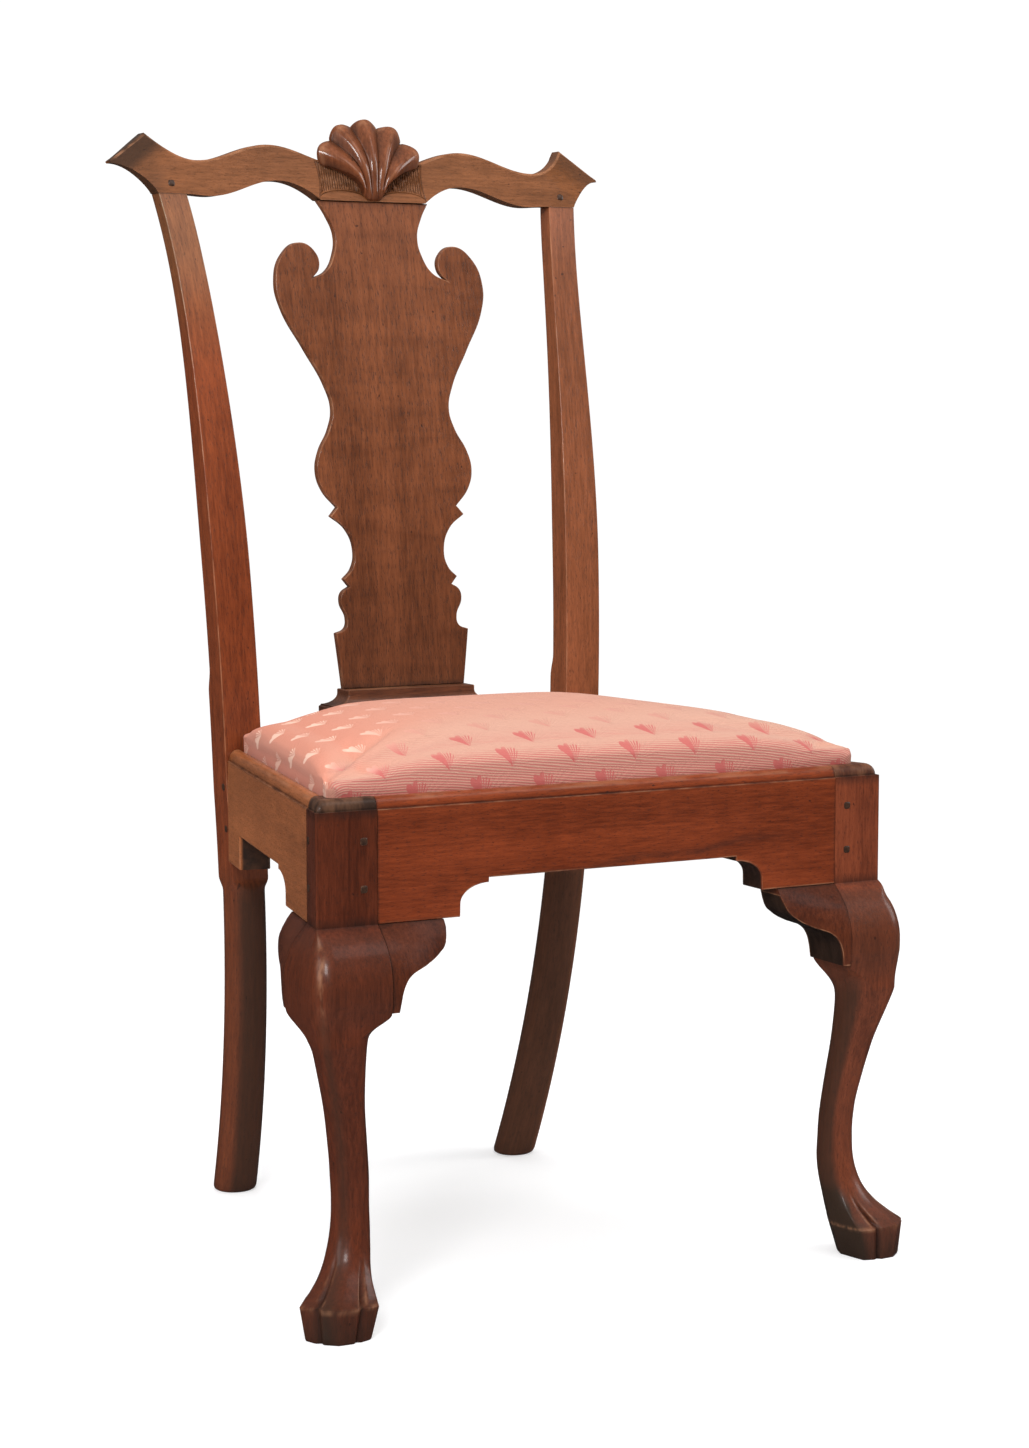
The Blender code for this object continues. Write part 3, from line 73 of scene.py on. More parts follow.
# Rear posts
BEND_HEIGHT = SEAT_TOP - 0.0375
CREST_JOINT = 0.934
REAR_CENTRE = 0.3795
POST_WIDTH, POST_DEPTH = 0.0362, 0.0325
POST_OUT, POST_FOOT_IN, POST_TOP_OUT, POST_FLARE = 0.17475, 0.0243, 0.019, 0.0089
POST_FOOT_BACK, POST_TOP_BACK, POST_SWEEP = 0.0765, 0.0855, 2.2
STILE_WIDTH, STILE_DEPTH, STILE_ROUND = 0.0276, 0.024, 0.0075
SLIM_FROM, SLIM_TO = SEAT_TOP + 0.1625, CREST_JOINT - 0.04
BLOCK_TOP, BLOCK_EASE = SEAT_TOP + 0.050, 0.022
BLOCK_FOOT = RAIL_BASE - 0.017
LEG_TOP = BLOCK_FOOT - 0.013
LEG_GIRTH, LEG_SPREAD, LEG_ROUND = 0.038, 0.0025, 0.487
FOOT_EASE = 0.006
ARRIS = 0.0011

# Front legs
BRACKET_HEIGHT, BRACKET_LENGTH, BRACKET_DEPTH = 0.068, 0.0585, 0.027
BRACKET_BASE = RAIL_BASE - BRACKET_HEIGHT
SHANK_TOP = BRACKET_BASE - 0.024
THROAT_BASE = SHANK_TOP - 0.018
SHANK_X, SHANK_Y = CORNER_X - 0.0343, 0.0136
FOOT_RIM, ANKLE_HEIGHT = 0.026, 0.104
SOLE_THROW, RIM_THROW, SHANK_THROW = 0.0212, 0.0195, 0.0165
SOLE_WIDTH, RIM_WIDTH, ANKLE_WIDTH, SHANK_WIDTH = 0.0515, 0.0625, 0.030, 0.0475
SOLE_EASE = (0.035, 0.012)
KNEE_FRONT, KNEE_SIDE, KNEE_SEAM, KNEE_ROUND = 0.028, 0.0102, 0.0205, 0.015
POST_ARRIS, JOINT_ARRIS = 0.0022, 0.0004
SHARP_SHARE, SHARP_RUN = 0.42, 0.0575
FLAT_SHARE, FLAT_FROM, FLAT_RUN = 0.20, 0.085, 0.05
THIN_SHARE, THIN_FROM, THIN_RUN = 0.06, 0.12, 0.07
TOE_AXIS, TOE_SPREAD = math.radians(33.75), math.radians(70)
TOE_FADE, TOE_LIFT = 0.040, 0.004
NOTCH_WIDTH, CHANNEL_DEPTH = math.radians(6.0), 0.10

# Crest, shell and splat
CREST_THICK, CREST_TILT, CREST_EASE = 0.0235, 0.33, 0.0022
CREST_FLAT = 0.0545
EAR_RUN, EAR_SWEEP, EAR_CURL = 0.04, 0.013, 1.7
PANEL_HALF, PANEL_WAIST, PANEL_HEIGHT, PANEL_EDGE = 0.0548, 0.0022, 0.036, 0.0009
PANEL_ARCH_X, PANEL_ARCH_HALF, PANEL_ARCH_RISE = 0.031, 0.0245, 0.0082
GROUND_DEPTH, STROKE_DEPTH, STROKE_PITCH = 0.0014, 0.0013, 0.0024
LINE_DEPTH, LINE_OUT, LINE_WIDTH = 0.0007, 0.0007, 0.0005
SHELL_LOBES, SHELL_REACH, SHELL_SCALLOP, SHELL_OPENING = 5, 0.0548, 0.0085, math.radians(79)
SHELL_RISE, RIB_RISE, SHELL_THICK, RIM_THICK = 0.010, 0.007, 0.015, 0.005
SHOE_TOP = SEAT_TOP + 0.0474
SPLAT_THICK, SPLAT_LEAN = 0.0078, 0.042

# Drop-in seat; SEAT_HALF is about half its depth
SEAT_EDGE, SEAT_HALF = 0.013, 0.2
COVER_THICK, COVER_TURN, COVER_ROUND = 0.0012, 0.024, 0.011
CUSHION_EDGE, CUSHION_RISE, CUSHION_DRAW, CUSHION_BULGE = 0.0070, 0.0415, 0.003, 0.0130
CUSHION_FRONT, CUSHION_ROUND, CUSHION_BORDER = 0.0085, 0.022, 0.22
PAD_BASE = LEDGE + 0.0198
SEAT_FRAME_THICK, FRAME_MARGIN, WEB_MARGIN = 0.0135, 0.012, 0.044
WEB_HALF_WIDTH, WEB_HALF_THICK, WEB_WAVE, WEB_LEVEL_END, WEB_EASE = 0.025, 0.0006, 0.001, 0.04, 0.0004


def ease(t):
    """Smooth step: 3 t squared less 2 t cubed, between 0 and 1."""
    t = np.clip(t, 0.0, 1.0)
    return t * t * (3.0 - 2.0 * t)


def bell(distance, width):
    """Bell curve: 1 at no distance, falling with the square of the distance over a width."""
    return np.exp(-(distance / width)**2)


def curve_through(points):
    """Piecewise cubic through points, its slope the mean of its neighbours' and flat at turns."""
    x, y = (np.array(column, float) for column in zip(*points))
    step = np.diff(y) / np.diff(x)
    slope = np.concatenate(([step[0]], (step[:-1] + step[1:]) / 2, [step[-1]]))
    slope[1:-1][step[:-1] * step[1:] <= 0] = 0.0

    def value(v):
        v = np.clip(v, x[0], x[-1])
        k = np.clip(np.searchsorted(x, v) - 1, 0, len(x) - 2)
        h = x[k + 1] - x[k]
        t = (v - x[k]) / h
        start = (2 * t**3 - 3 * t**2 + 1) * y[k] + (t**3 - 2 * t**2 + t) * h * slope[k]
        end = (3 * t**2 - 2 * t**3) * y[k + 1] + (t**3 - t**2) * h * slope[k + 1]
        return start + end
    return value


def post_axis(z):
    """Centre of a rear post: powers of the height above or below its upright place."""
    z = np.asarray(z, float)
    down = np.maximum(0.0, (BEND_HEIGHT - z) / BEND_HEIGHT)
    up = np.maximum(0.0, (z - BEND_HEIGHT) / (CREST_JOINT - BEND_HEIGHT))
    out = POST_OUT - POST_FOOT_IN * down + POST_TOP_OUT * up + POST_FLARE * up**8
    back = REAR_CENTRE + POST_FOOT_BACK * down**POST_SWEEP + POST_TOP_BACK * up**POST_SWEEP
    return out, back


POST_FRONT = float(post_axis(RAIL_MIDDLE)[1]) - POST_DEPTH / 2
SIDE_IN = CORNER_X - float(post_axis(RAIL_MIDDLE)[0]) - POST_WIDTH / 2
SIDE_ANGLE = math.atan2(SIDE_IN, POST_FRONT)
SIDE_SIN, SIDE_COS = math.sin(SIDE_ANGLE), math.cos(SIDE_ANGLE)


def side_x(y, inset):
    """Half width of the seat at a distance back, in from the side rail's face."""
    return CORNER_X - y * math.tan(SIDE_ANGLE) - inset / SIDE_COS


# Meshes

def grid_faces(rows, columns, closed=True):
    """Quads of a grid of points, row by row, its columns joined round if closed."""
    i = np.arange(rows - 1)[:, None]
    j = np.arange(columns if closed else columns - 1)[None, :]
    k = (j + 1) % columns
    quads = np.stack((i * columns + j, i * columns + k, (i + 1) * columns + k, (i + 1) * columns + j), -1)
    return quads.reshape(-1, 4).tolist()


def rim_loop(rows, columns):
    """Numbers of the outer points of a grid, once round it."""
    return np.concatenate((np.arange(columns), columns * np.arange(1, rows) + columns - 1,
                           columns * (rows - 1) + np.arange(columns - 2, -1, -1),
                           columns * np.arange(rows - 2, 0, -1)))


def ring_corners(*corners):
    """Rings from the coordinates of each corner along a piece."""
    return np.stack([np.stack(corner, -1) for corner in corners], axis=1)


def at_heights(flat, z):
    """Flat rings, each lifted to its height."""
    return np.concatenate((flat, np.broadcast_to(z[:, None, None], (*flat.shape[:2], 1))), axis=2)


def lengthwise(rings, start):
    """Grain of a piece that lies along X, its length counted from a start of its own."""
    return rings[..., (1, 2, 0)] + (0.0, 0.0, start)


def make_piece(name, points, faces, materials, sharp=38.0, **marks):
    """Mesh object, faces out, smooth but at sharp edges, with its marks as point attributes."""
    mesh = bpy.data.meshes.new(name)
    points = np.asarray(points, float) + (0, SHIFT, 0)
    mesh.from_pydata(points.tolist(), [], faces)
    bm = bmesh.new()
    bm.from_mesh(mesh)
    bmesh.ops.recalc_face_normals(bm, faces=bm.faces)
    bm.to_mesh(mesh)
    bm.free()
    mesh.shade_smooth()
    mesh.set_sharp_from_angle(angle=math.radians(sharp))
    for key, values in marks.items():
        values = np.asarray(values, np.float32)
        kind = 'FLOAT' if values.ndim == 1 else 'FLOAT_VECTOR'
        made = mesh.attributes.new(key, kind, 'POINT')
        made.data.foreach_set("value" if values.ndim == 1 else "vector", values.ravel())
    ob = bpy.data.objects.new(name, mesh)
    scene.collection.objects.link(ob)
    for material in materials:
        mesh.materials.append(material)
    return ob


def even_shading(ob):
    """Normals weighted by face area, so that flats stay flat beside small rounds."""
    mod = ob.modifiers.new("even_shading", 'WEIGHTED_NORMAL')
    mod.keep_sharp = True


# Its marks carry wear and painted highlights, grime and painted shade, and painted shade and dark tone
def loft_piece(name, grid, material, nodes, grain, wear, grime, dusk=0.0,
               body="chair_frame"):
    """Closed piece over rings of points, riding on its body in place of its solids."""
    rows, columns = grid.shape[:2]
    faces = grid_faces(rows, columns)
    faces += [list(range(columns)), list(range((rows - 1) * columns, rows * columns))]
    marks = {key: np.broadcast_to(value, (rows, columns)).ravel()
             for key, value in (("wear", wear), ("grime", grime), ("dusk", dusk))}
    ob = make_piece(name, grid.reshape(-1, 3), faces, [material], grain=grain.reshape(-1, 3), **marks)
    even_shading(ob)
    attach(ob, body)
    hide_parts(*nodes)


# Where a cubic's handles stand, as a share of the radius from the corner, to draw a quarter circle
ARC_HANDLE = 0.4477


def rounded_rings(corners, radii, count):
    """Rings with each corner turned on a cubic arc: corners (n, c, 2), radii (n, c)."""
    before = np.roll(corners, 1, axis=1) - corners
    after = np.roll(corners, -1, axis=1) - corners
    before *= (radii / np.linalg.norm(before, axis=2))[..., None]
    after *= (radii / np.linalg.norm(after, axis=2))[..., None]
    t = np.linspace(0, 1, count)[None, None, :, None]
    c, b, a = (v[:, :, None, :] for v in (corners, before, after))
    arc = ((1 - t)**3 * (c + b) + 3 * t * (1 - t)**2 * (c + ARC_HANDLE * b)
           + 3 * t**2 * (1 - t) * (c + ARC_HANDLE * a) + t**3 * (c + a))
    return arc.reshape(len(corners), -1, 2)


CORNER_SHARE, HOLD_SHARE = 0.45, 1.06


def soften(rings, radii, count=4):
    """Rings whose corners are turned on parabolas, with a holding point on each side.

    rings is (n, c, 3), with one radius for each corner and none where it is 0.
    Gives the new rings and a mask that is 1 on the turned corners.
    """
    before = np.roll(rings, 1, axis=1) - rings
    after = np.roll(rings, -1, axis=1) - rings
    long_before = np.linalg.norm(before, axis=2, keepdims=True)
    long_after = np.linalg.norm(after, axis=2, keepdims=True)
    t = np.linspace(0, 1, count)[None, :, None]
    out, mask = [], []
    for k, radius in enumerate(radii):
        c = rings[:, k:k + 1]
        if radius <= 0:
            out.append(c)
            mask.append(np.zeros(1))
            continue
        way_b = before[:, k:k + 1] / long_before[:, k:k + 1]
        way_a = after[:, k:k + 1] / long_after[:, k:k + 1]
        room = CORNER_SHARE * np.minimum(long_before[:, k:k + 1], long_after[:, k:k + 1])
        r = np.minimum(radius, room)
        hold = r + np.minimum(r, 0.5 * (HOLD_SHARE * room - r))
        arc = (1 - t)**2 * (c + way_b * r) + 2 * t * (1 - t) * c + t**2 * (c + way_a * r)
        out += [c + way_b * hold, arc, c + way_a * hold]
        mask.append(np.concatenate(([0.0], np.ones(count), [0.0])))
    return np.concatenate(out, axis=1), np.concatenate(mask)


# Shader groups

def feed(tree, node, links):
    """Gives each input of a node a socket to read or a value."""
    for key, value in links.items():
        value = value.socket if isinstance(value, Signal) else value
        if isinstance(value, bpy.types.NodeSocket):
            tree.links.new(value, node.inputs[key])
        else:
            node.inputs[key].default_value = value


def put(tree, kind, links=None, **settings):
    """A node with its settings and what feeds it."""
    node = tree.nodes.new(kind)
    for key, value in settings.items():
        setattr(node, key, value)
    feed(tree, node, links or {})
    return node


class Signal:
    """A value in a shader that takes plain arithmetic; each step is one Math node."""

    def __init__(self, tree, socket):
        self.tree = tree
        self.socket = socket

    def step(self, operation, other=0.0, clamp=False, turned=False):
        """This value and another through an operation, the other one first if turned."""
        links = {0: other, 1: self} if turned else {0: self, 1: other}
        node = put(self.tree, 'ShaderNodeMath', links, operation=operation, use_clamp=clamp)
        return Signal(self.tree, node.outputs[0])

    def __add__(self, other):
        return self.step('ADD', other)

    def __sub__(self, other):
        return self.step('SUBTRACT', other)

    def __rsub__(self, other):
        return self.step('SUBTRACT', other, turned=True)

    def __mul__(self, other):
        return self.step('MULTIPLY', other)

    def __truediv__(self, other):
        return self.step('DIVIDE', other)


def axes(tree, vector):
    """The three coordinates of a vector."""
    node = put(tree, 'ShaderNodeSeparateXYZ', {0: vector})
    return [Signal(tree, socket) for socket in node.outputs]


def blend_colours(tree, share, a, b, how='MIX'):
    """Two colours mixed by a share."""
    node = put(tree, 'ShaderNodeMix', {0: share, 6: a, 7: b}, data_type='RGBA', blend_type=how)
    return node.outputs[2]


def ramp_value(tree, value, low, high, start=0.0, end=1.0):
    """Value stretched from one range to another and held at its ends."""
    links = {0: value, 1: low, 2: high, 3: start, 4: end}
    return Signal(tree, put(tree, 'ShaderNodeMapRange', links, interpolation_type='SMOOTHSTEP').outputs[0])


def stretched_noise(tree, vector, scale, detail, rough, twist=0.0):
    """Noise on coordinates stretched by a scale for each axis."""
    place = put(tree, 'ShaderNodeMapping', {"Vector": vector, "Scale": scale})
    links = {"Vector": place.outputs[0], "Scale": 1.0, "Detail": detail, "Roughness": rough,
             "Distortion": twist}
    return Signal(tree, put(tree, 'ShaderNodeTexNoise', links).outputs["Fac"])


def bump_normal(tree, height, strength, distance):
    """Normal of a surface that small heights disturb."""
    links = {"Strength": strength, "Distance": distance, "Height": height}
    return put(tree, 'ShaderNodeBump', links).outputs["Normal"]


def new_group(name, inputs, outputs):
    """Shader group with named sockets: its tree, what it takes by name, and its output node."""
    tree = bpy.data.node_groups.new(name, 'ShaderNodeTree')
    for side, sockets in (('INPUT', inputs), ('OUTPUT', outputs)):
        for label, kind in sockets.items():
            tree.interface.new_socket(name=label, in_out=side, socket_type="NodeSocket" + kind)
    source = tree.nodes.new('NodeGroupInput')
    take = {label: Signal(tree, source.outputs[label]) for label in inputs}
    return tree, take, tree.nodes.new('NodeGroupOutput')


# Noise in walnut: scale across and along the grain, detail, roughness and twist
STREAKS = (34, 34, 1.9), 4.0, 0.55, 0.35
FINE_LINES = (430, 430, 42.0), 3.0, 0.6, 0.1
CLOUDS = (9, 9, 4.5), 2.0, 0.5
PORES = (1400, 1400, 210), 2.0, 0.5
CROSS_FIGURE = (11, 11, 62), 2.0, 0.5, 0.6
STREAK_SHARE, FINE_SHARE, CLOUD_SHARE = 1.5, 1.7, 0.9
PORE_BROWN = (0.018, 0.008, 0.005, 1.0)


def build_grain():
    """Walnut: long streaks, fine lines, dark pores and a cross figure, all along the third axis."""
    tree, take, give = new_group(
        "walnut_grain",
        {"Place": "Vector", "Light": "Color", "Dark": "Color", "Figure": "Float", "Pores": "Float"},
        {"Color": "Color", "Roughness": "Float", "Height": "Float"})
    broad, fine, cloud, pores, ripple = (stretched_noise(tree, take["Place"], *kind) for kind in (
        STREAKS, FINE_LINES, CLOUDS, PORES, CROSS_FIGURE))
    pores = ramp_value(tree, pores, 0.54, 0.70)
    mix = (broad - 0.5) * STREAK_SHARE + (fine - 0.5) * FINE_SHARE + (cloud - 0.5) * CLOUD_SHARE
    mix = (mix + (ripple - 0.5) * take["Figure"]).step('ADD', 0.5, clamp=True)
    colour = blend_colours(tree, mix, take["Dark"], take["Light"])
    feed(tree, give, {"Color": blend_colours(tree, pores * take["Pores"], colour, PORE_BROWN),
                      "Roughness": pores * 0.16 + cloud * 0.16 + 0.24,
                      "Height": fine * 0.25 - pores})
    return tree


# Noise and colours of old handling, and of painted shade and painted highlights
PATCHES = (90, 90, 34), 3.0, 0.6
SPECKS = (210, 210, 150), 1.0, 0.4
# Dark browns for painted shade and dark tone, for soil and painted shade, and for specks
DUSK_BROWN = (0.030, 0.017, 0.011, 1.0)
SOIL_BROWN = (0.012, 0.006, 0.004, 1.0)
SPECK_BROWN = (0.016, 0.008, 0.006, 1.0)
RUBBED_SHARE, SOIL_SHARE, SOIL_DULL = 0.62, 0.9, 0.3


def build_handling():
    """Old handling and painted light: rubbed edges and painted highlights made paler, grime and painted
    shade made dark and broken up by noise, painted shade and dark tone laid on, and dark specks.
    """
    tree, take, give = new_group(
        "handling",
        {"Place": "Vector", "Color": "Color", "Rubbed": "Color", "Wear": "Float", "Grime": "Float",
         "Dusk": "Float"},
        {"Color": "Color", "Dull": "Float"})
    patch = stretched_noise(tree, take["Place"], *PATCHES)
    rub = take["Wear"] * ramp_value(tree, patch, 0.36, 0.66)
    soil = take["Grime"] * ramp_value(tree, patch, 0.75, 0.30, 0.35, 1.0)
    specks = ramp_value(tree, stretched_noise(tree, take["Place"], *SPECKS), 0.765, 0.80, 0.0, 0.7)
    colour = take["Color"]
    for share, over in ((take["Dusk"], DUSK_BROWN), (rub * RUBBED_SHARE, take["Rubbed"]),
                        (soil * SOIL_SHARE, SOIL_BROWN), (specks, SPECK_BROWN)):
        colour = blend_colours(tree, share, colour, over)
    feed(tree, give, {"Color": colour, "Dull": soil * SOIL_DULL})
    return tree


GRAIN = build_grain()
HANDLING = build_handling()


def new_material(name):
    """Material with a plain Principled shader."""
    material = bpy.data.materials.new(name)
    material.use_nodes = True
    return material, material.node_tree, material.node_tree.nodes["Principled BSDF"]


def attribute(tree, name, kind="Fac"):
    """One of the piece's own attributes."""
    return put(tree, 'ShaderNodeAttribute', attribute_name=name).outputs[kind]


def object_place(tree):
    """The piece's own coordinates."""
    return put(tree, 'ShaderNodeTexCoord').outputs["Object"]


# Pale of rubbed edges, also laid on ridges as painted highlights
RUBBED = (0.36, 0.165, 0.085)
# Painted glare: green and blue lifted, so the wood looks paler and greyer
BROWNED = (0.95, 1.5, 1.75, 1)


def waxed_walnut(name, light, dark, figure=0.25, coat=0.17, gloss=0.20, pores=0.48, browned=None):
    """Waxed walnut that follows a piece's grain, its wear and painted highlights, its grime and painted
    shade, and its painted shade and dark tone.

    It takes a painted glare, a paler and greyer veil, between two places along the grain where browned
    gives them.
    """
    material, tree, shader = new_material(name)
    place = attribute(tree, "grain", "Vector")
    grain = put(tree, 'ShaderNodeGroup', {"Place": place, "Light": (*light, 1), "Dark": (*dark, 1),
                                          "Figure": figure, "Pores": pores}, node_tree=GRAIN).outputs
    old = put(tree, 'ShaderNodeGroup', {"Place": place, "Color": grain["Color"], "Rubbed": (*RUBBED, 1),
                                        "Wear": attribute(tree, "wear"), "Grime": attribute(tree, "grime"),
                                        "Dusk": attribute(tree, "dusk")}, node_tree=HANDLING).outputs
    colour = old["Color"]
    if browned:
        share = ramp_value(tree, axes(tree, place)[2], *browned)
        colour = blend_colours(tree, share, colour, BROWNED, 'MULTIPLY')
    feed(tree, shader, {"Base Color": colour, "Roughness": Signal(tree, grain["Roughness"]) + old["Dull"],
                        "Normal": bump_normal(tree, grain["Height"], 0.22, 0.0004),
                        "Coat Weight": coat, "Coat Roughness": 0.12, "Specular IOR Level": gloss})
    return material


def sawn_wood(name, light, dark, turn):
    """Plain sawn wood on the piece's own coordinates, the grain turned to its length."""
    material, tree, shader = new_material(name)
    place = put(tree, 'ShaderNodeMapping', {"Vector": object_place(tree), "Rotation": turn}).outputs[0]
    grain = put(tree, 'ShaderNodeGroup', {"Place": place, "Light": (*light, 1), "Dark": (*dark, 1),
                                          "Figure": 0.2, "Pores": 0.5}, node_tree=GRAIN).outputs
    height = Signal(tree, grain["Height"]) + stretched_noise(tree, place, (60, 60, 520), 2.0, 0.5)
    feed(tree, shader, {"Base Color": grain["Color"], "Roughness": 0.72,
                        "Normal": bump_normal(tree, height, 0.3, 0.0006)})
    return material


# Where each piece's grain starts, so that no two show the same figure
GRAIN_START = {"front_rail": 3.1, "side_rail": 7.7, "rear_rail": 13.3, "post": 2.0, "leg": 5.0,
               "bracket": 9.0, "crest": 21.0, "shell": 31.0, "splat": 41.0, "shoe": 51.0}

# Each wood's light and dark colour, then its figure and its own polish
RAIL_WOOD = waxed_walnut("walnut_front_rail", (0.215, 0.040, 0.0115), (0.090, 0.016, 0.005), 0.30,
                         gloss=0.15)
SIDE_WOOD = waxed_walnut("walnut_side_rail", (0.385, 0.124, 0.043), (0.190, 0.058, 0.019), 0.30)
LEG_WOOD = {-1: waxed_walnut("walnut_left_leg", (0.122, 0.026, 0.010), (0.048, 0.011, 0.005),
                             coat=0.10, gloss=0.14),
            1: waxed_walnut("walnut_right_leg", (0.225, 0.052, 0.021), (0.096, 0.022, 0.010),
                            coat=0.10, gloss=0.14)}
# Painted glare over the top of the left stile, below the crest
BROWN_FROM, BROWN_TO = (GRAIN_START["post"] - 1 + CREST_JOINT - below for below in (0.175, 0.035))
POST_WOOD = {-1: waxed_walnut("walnut_left_post", (0.250, 0.057, 0.018), (0.108, 0.023, 0.008),
                              browned=(BROWN_FROM, BROWN_TO)),
             1: waxed_walnut("walnut_right_post", (0.275, 0.086, 0.035), (0.132, 0.040, 0.015))}
BRACKET_WOOD = waxed_walnut("walnut_bracket", (0.104, 0.026, 0.011), (0.040, 0.010, 0.005),
                            coat=0.06, gloss=0.10)
CREST_WOOD = waxed_walnut("walnut_crest", (0.209, 0.075, 0.028), (0.102, 0.036, 0.0125), 0.40,
                          coat=0.05, gloss=0.10, pores=0.38)
SHELL_WOOD = waxed_walnut("walnut_shell", (0.215, 0.066, 0.026), (0.095, 0.028, 0.011), 0.20,
                          coat=0.55, gloss=0.08, pores=0.3)
SPLAT_WOOD = waxed_walnut("walnut_splat", (0.203, 0.064, 0.025), (0.090, 0.027, 0.0105), 0.90, pores=0.62)
SHOE_WOOD = waxed_walnut("walnut_shoe", (0.140, 0.048, 0.022), (0.050, 0.018, 0.010))
PEG_FINISH = waxed_walnut("peg_end_grain", (0.060, 0.028, 0.016), (0.018, 0.009, 0.006), 0.1)

# Rails

def mould_profile(count):
    """Moulded top edge from the face up: a small step, then a quarter round."""
    turn = np.linspace(0, math.pi / 2, count)
    base = SEAT_TOP - MOULD_HEIGHT
    inset = MOULD_FILLET + (MOULD_WIDTH - MOULD_FILLET) * (1 - np.cos(turn))
    height = base + MOULD_STEP + (MOULD_HEIGHT - MOULD_STEP) * np.sin(turn)
    return np.column_stack((np.r_[0.0, inset], np.r_[base, height]))


def hollow_line(start, end, left_cove, right_cove, low, high):
    """Lower edge of a rail from low to high as (along, height): coves, small steps and a flat."""
    flat = RAIL_BASE + CUT_RISE
    rise = CUT_RISE - CUT_STEP - CUT_LIFT
    turn = np.linspace(0, math.pi / 2, 16)
    cove = list(zip(1 - np.cos(turn), RAIL_BASE + CUT_LIFT + rise * np.sin(turn)))
    line = [(s, RAIL_BASE) for s in np.linspace(low, start, 8)]
    first, last = start + CUT_WALL, end - CUT_WALL
    if left_cove:
        line += [(first + left_cove * s, z) for s, z in cove]
        first += left_cove + CUT_WALL
    ending = []
    if right_cove:
        ending = [(last - right_cove * s, z) for s, z in cove[::-1]]
        last -= right_cove + CUT_WALL
    line += [(s, flat) for s in np.linspace(first, last, 30)] + ending
    line += [(s, RAIL_BASE) for s in np.linspace(end, high, 8)]
    return np.array(line)


FACE_POINTS = 22
UNDER_INSET = 0.004
MOULD_EASE, LIP_EASE, LEDGE_EASE = 0.0005, 0.0012, 0.0015
CREASE_HEIGHT, CREASE_WIDTH = SEAT_TOP - MOULD_HEIGHT + 0.0004, 0.0009
JOINT_LINE, JOINT_GRIME, END_STEP = 0.0012, 0.7, 0.001


def rail_rings(thick, line):
    """Rail section (along, inset, height) carried along its lower edge line.

    Gives the rings, then their wear, their grime with painted shade on the underside, and their painted
    shade on the underside.
    """
    mould = mould_profile(9)
    top = np.array([(LIP_WIDTH, SEAT_TOP), (LIP_WIDTH, LEDGE), (thick, LEDGE)])
    face = np.zeros((FACE_POINTS, 2))
    profile = np.vstack(([(0.0, 0.0)], face, mould, top, [(thick, 0.0), (UNDER_INSET, 0.0)]))
    rings = np.zeros((len(line), len(profile), 3))
    rings[:, :, 0] = line[:, None, 0]
    rings[:, :, 1:] = profile
    rings[:, (0, -2, -1), 2] = line[:, None, 1]
    share = np.linspace(0.06, 0.97, FACE_POINTS)
    rings[:, 1:FACE_POINTS + 1, 2] = line[:, 1:] + (mould[0, 1] - line[:, 1:]) * share
    radii = np.zeros(len(profile))
    radii[[0, -2]] = ARRIS
    last = FACE_POINTS + len(mould)
    radii[FACE_POINTS + 1], radii[last + 1], radii[last + 3] = MOULD_EASE, LIP_EASE, LEDGE_EASE
    rings, mask = soften(rings, radii)
    inset, height = rings[:, :, 1], rings[:, :, 2]
    crease = bell(height - CREASE_HEIGHT, CREASE_WIDTH) * (inset < UNDER_INSET)
    ends = np.minimum(line[:, 0] - line[0, 0], line[-1, 0] - line[:, 0])[:, None]
    # Painted shade on the underside, laid through both the grime and the shade marks
    under = (height < line[:, None, 1] + 0.004) & (inset > 0.003)
    grime = np.maximum(np.maximum(crease, JOINT_GRIME * bell(ends, JOINT_LINE)), 0.95 * under)
    round_top = (height > SEAT_TOP - 0.004) & (inset < LIP_WIDTH + 0.001)
    wear = np.maximum(mask, 0.45 * round_top)
    return rings, wear, grime, 0.85 * under


def close_ends(line):
    """Extra stations close to the ends of a rail, for the dark joint line."""
    steps = END_STEP * np.array([(0, 0), (1, 0), (2, 0)])
    return np.vstack((line[0] + steps, line[1:-1], line[-1] - steps[::-1]))


# Front rail, with a dark streak that rises to the right across its face
STREAK_FROM, STREAK_HEIGHT, STREAK_SLOPE, STREAK_WIDTH = -0.10, RAIL_BASE + 0.026, 0.075, 0.0028
left_end, right_end = -JOINT_X[-1] + GAP, JOINT_X[1] - GAP
line = hollow_line(left_end + FRONT_CUT, right_end - FRONT_CUT, FRONT_COVE, FRONT_COVE, left_end, right_end)
rings, wear, grime, dusk = rail_rings(FRONT_THICK, close_ends(line))
along, inset, height = (rings[..., k] for k in range(3))
path = STREAK_HEIGHT + STREAK_SLOPE * (along - STREAK_FROM) + 0.002 * np.sin(60 * along)
streak = bell(height - path, STREAK_WIDTH) * ease((along + 0.12) / 0.06) * ease((0.20 - along) / 0.08)
grime = np.maximum(grime, 0.55 * streak * (inset < 0.001))
loft_piece("front_rail_moulded", rings, RAIL_WOOD, ["front_rail"],
           lengthwise(rings, GRAIN_START["front_rail"]), wear, grime, dusk)


def side_place(sign, rings):
    """Local points (along, inset, height) of a side rail, turned to its angle."""
    s, o, z = rings[..., 0], rings[..., 1], rings[..., 2]
    x = sign * (CORNER_X - s * SIDE_SIN - o * SIDE_COS)
    return np.stack((x, s * SIDE_COS - o * SIDE_SIN, z), axis=-1)


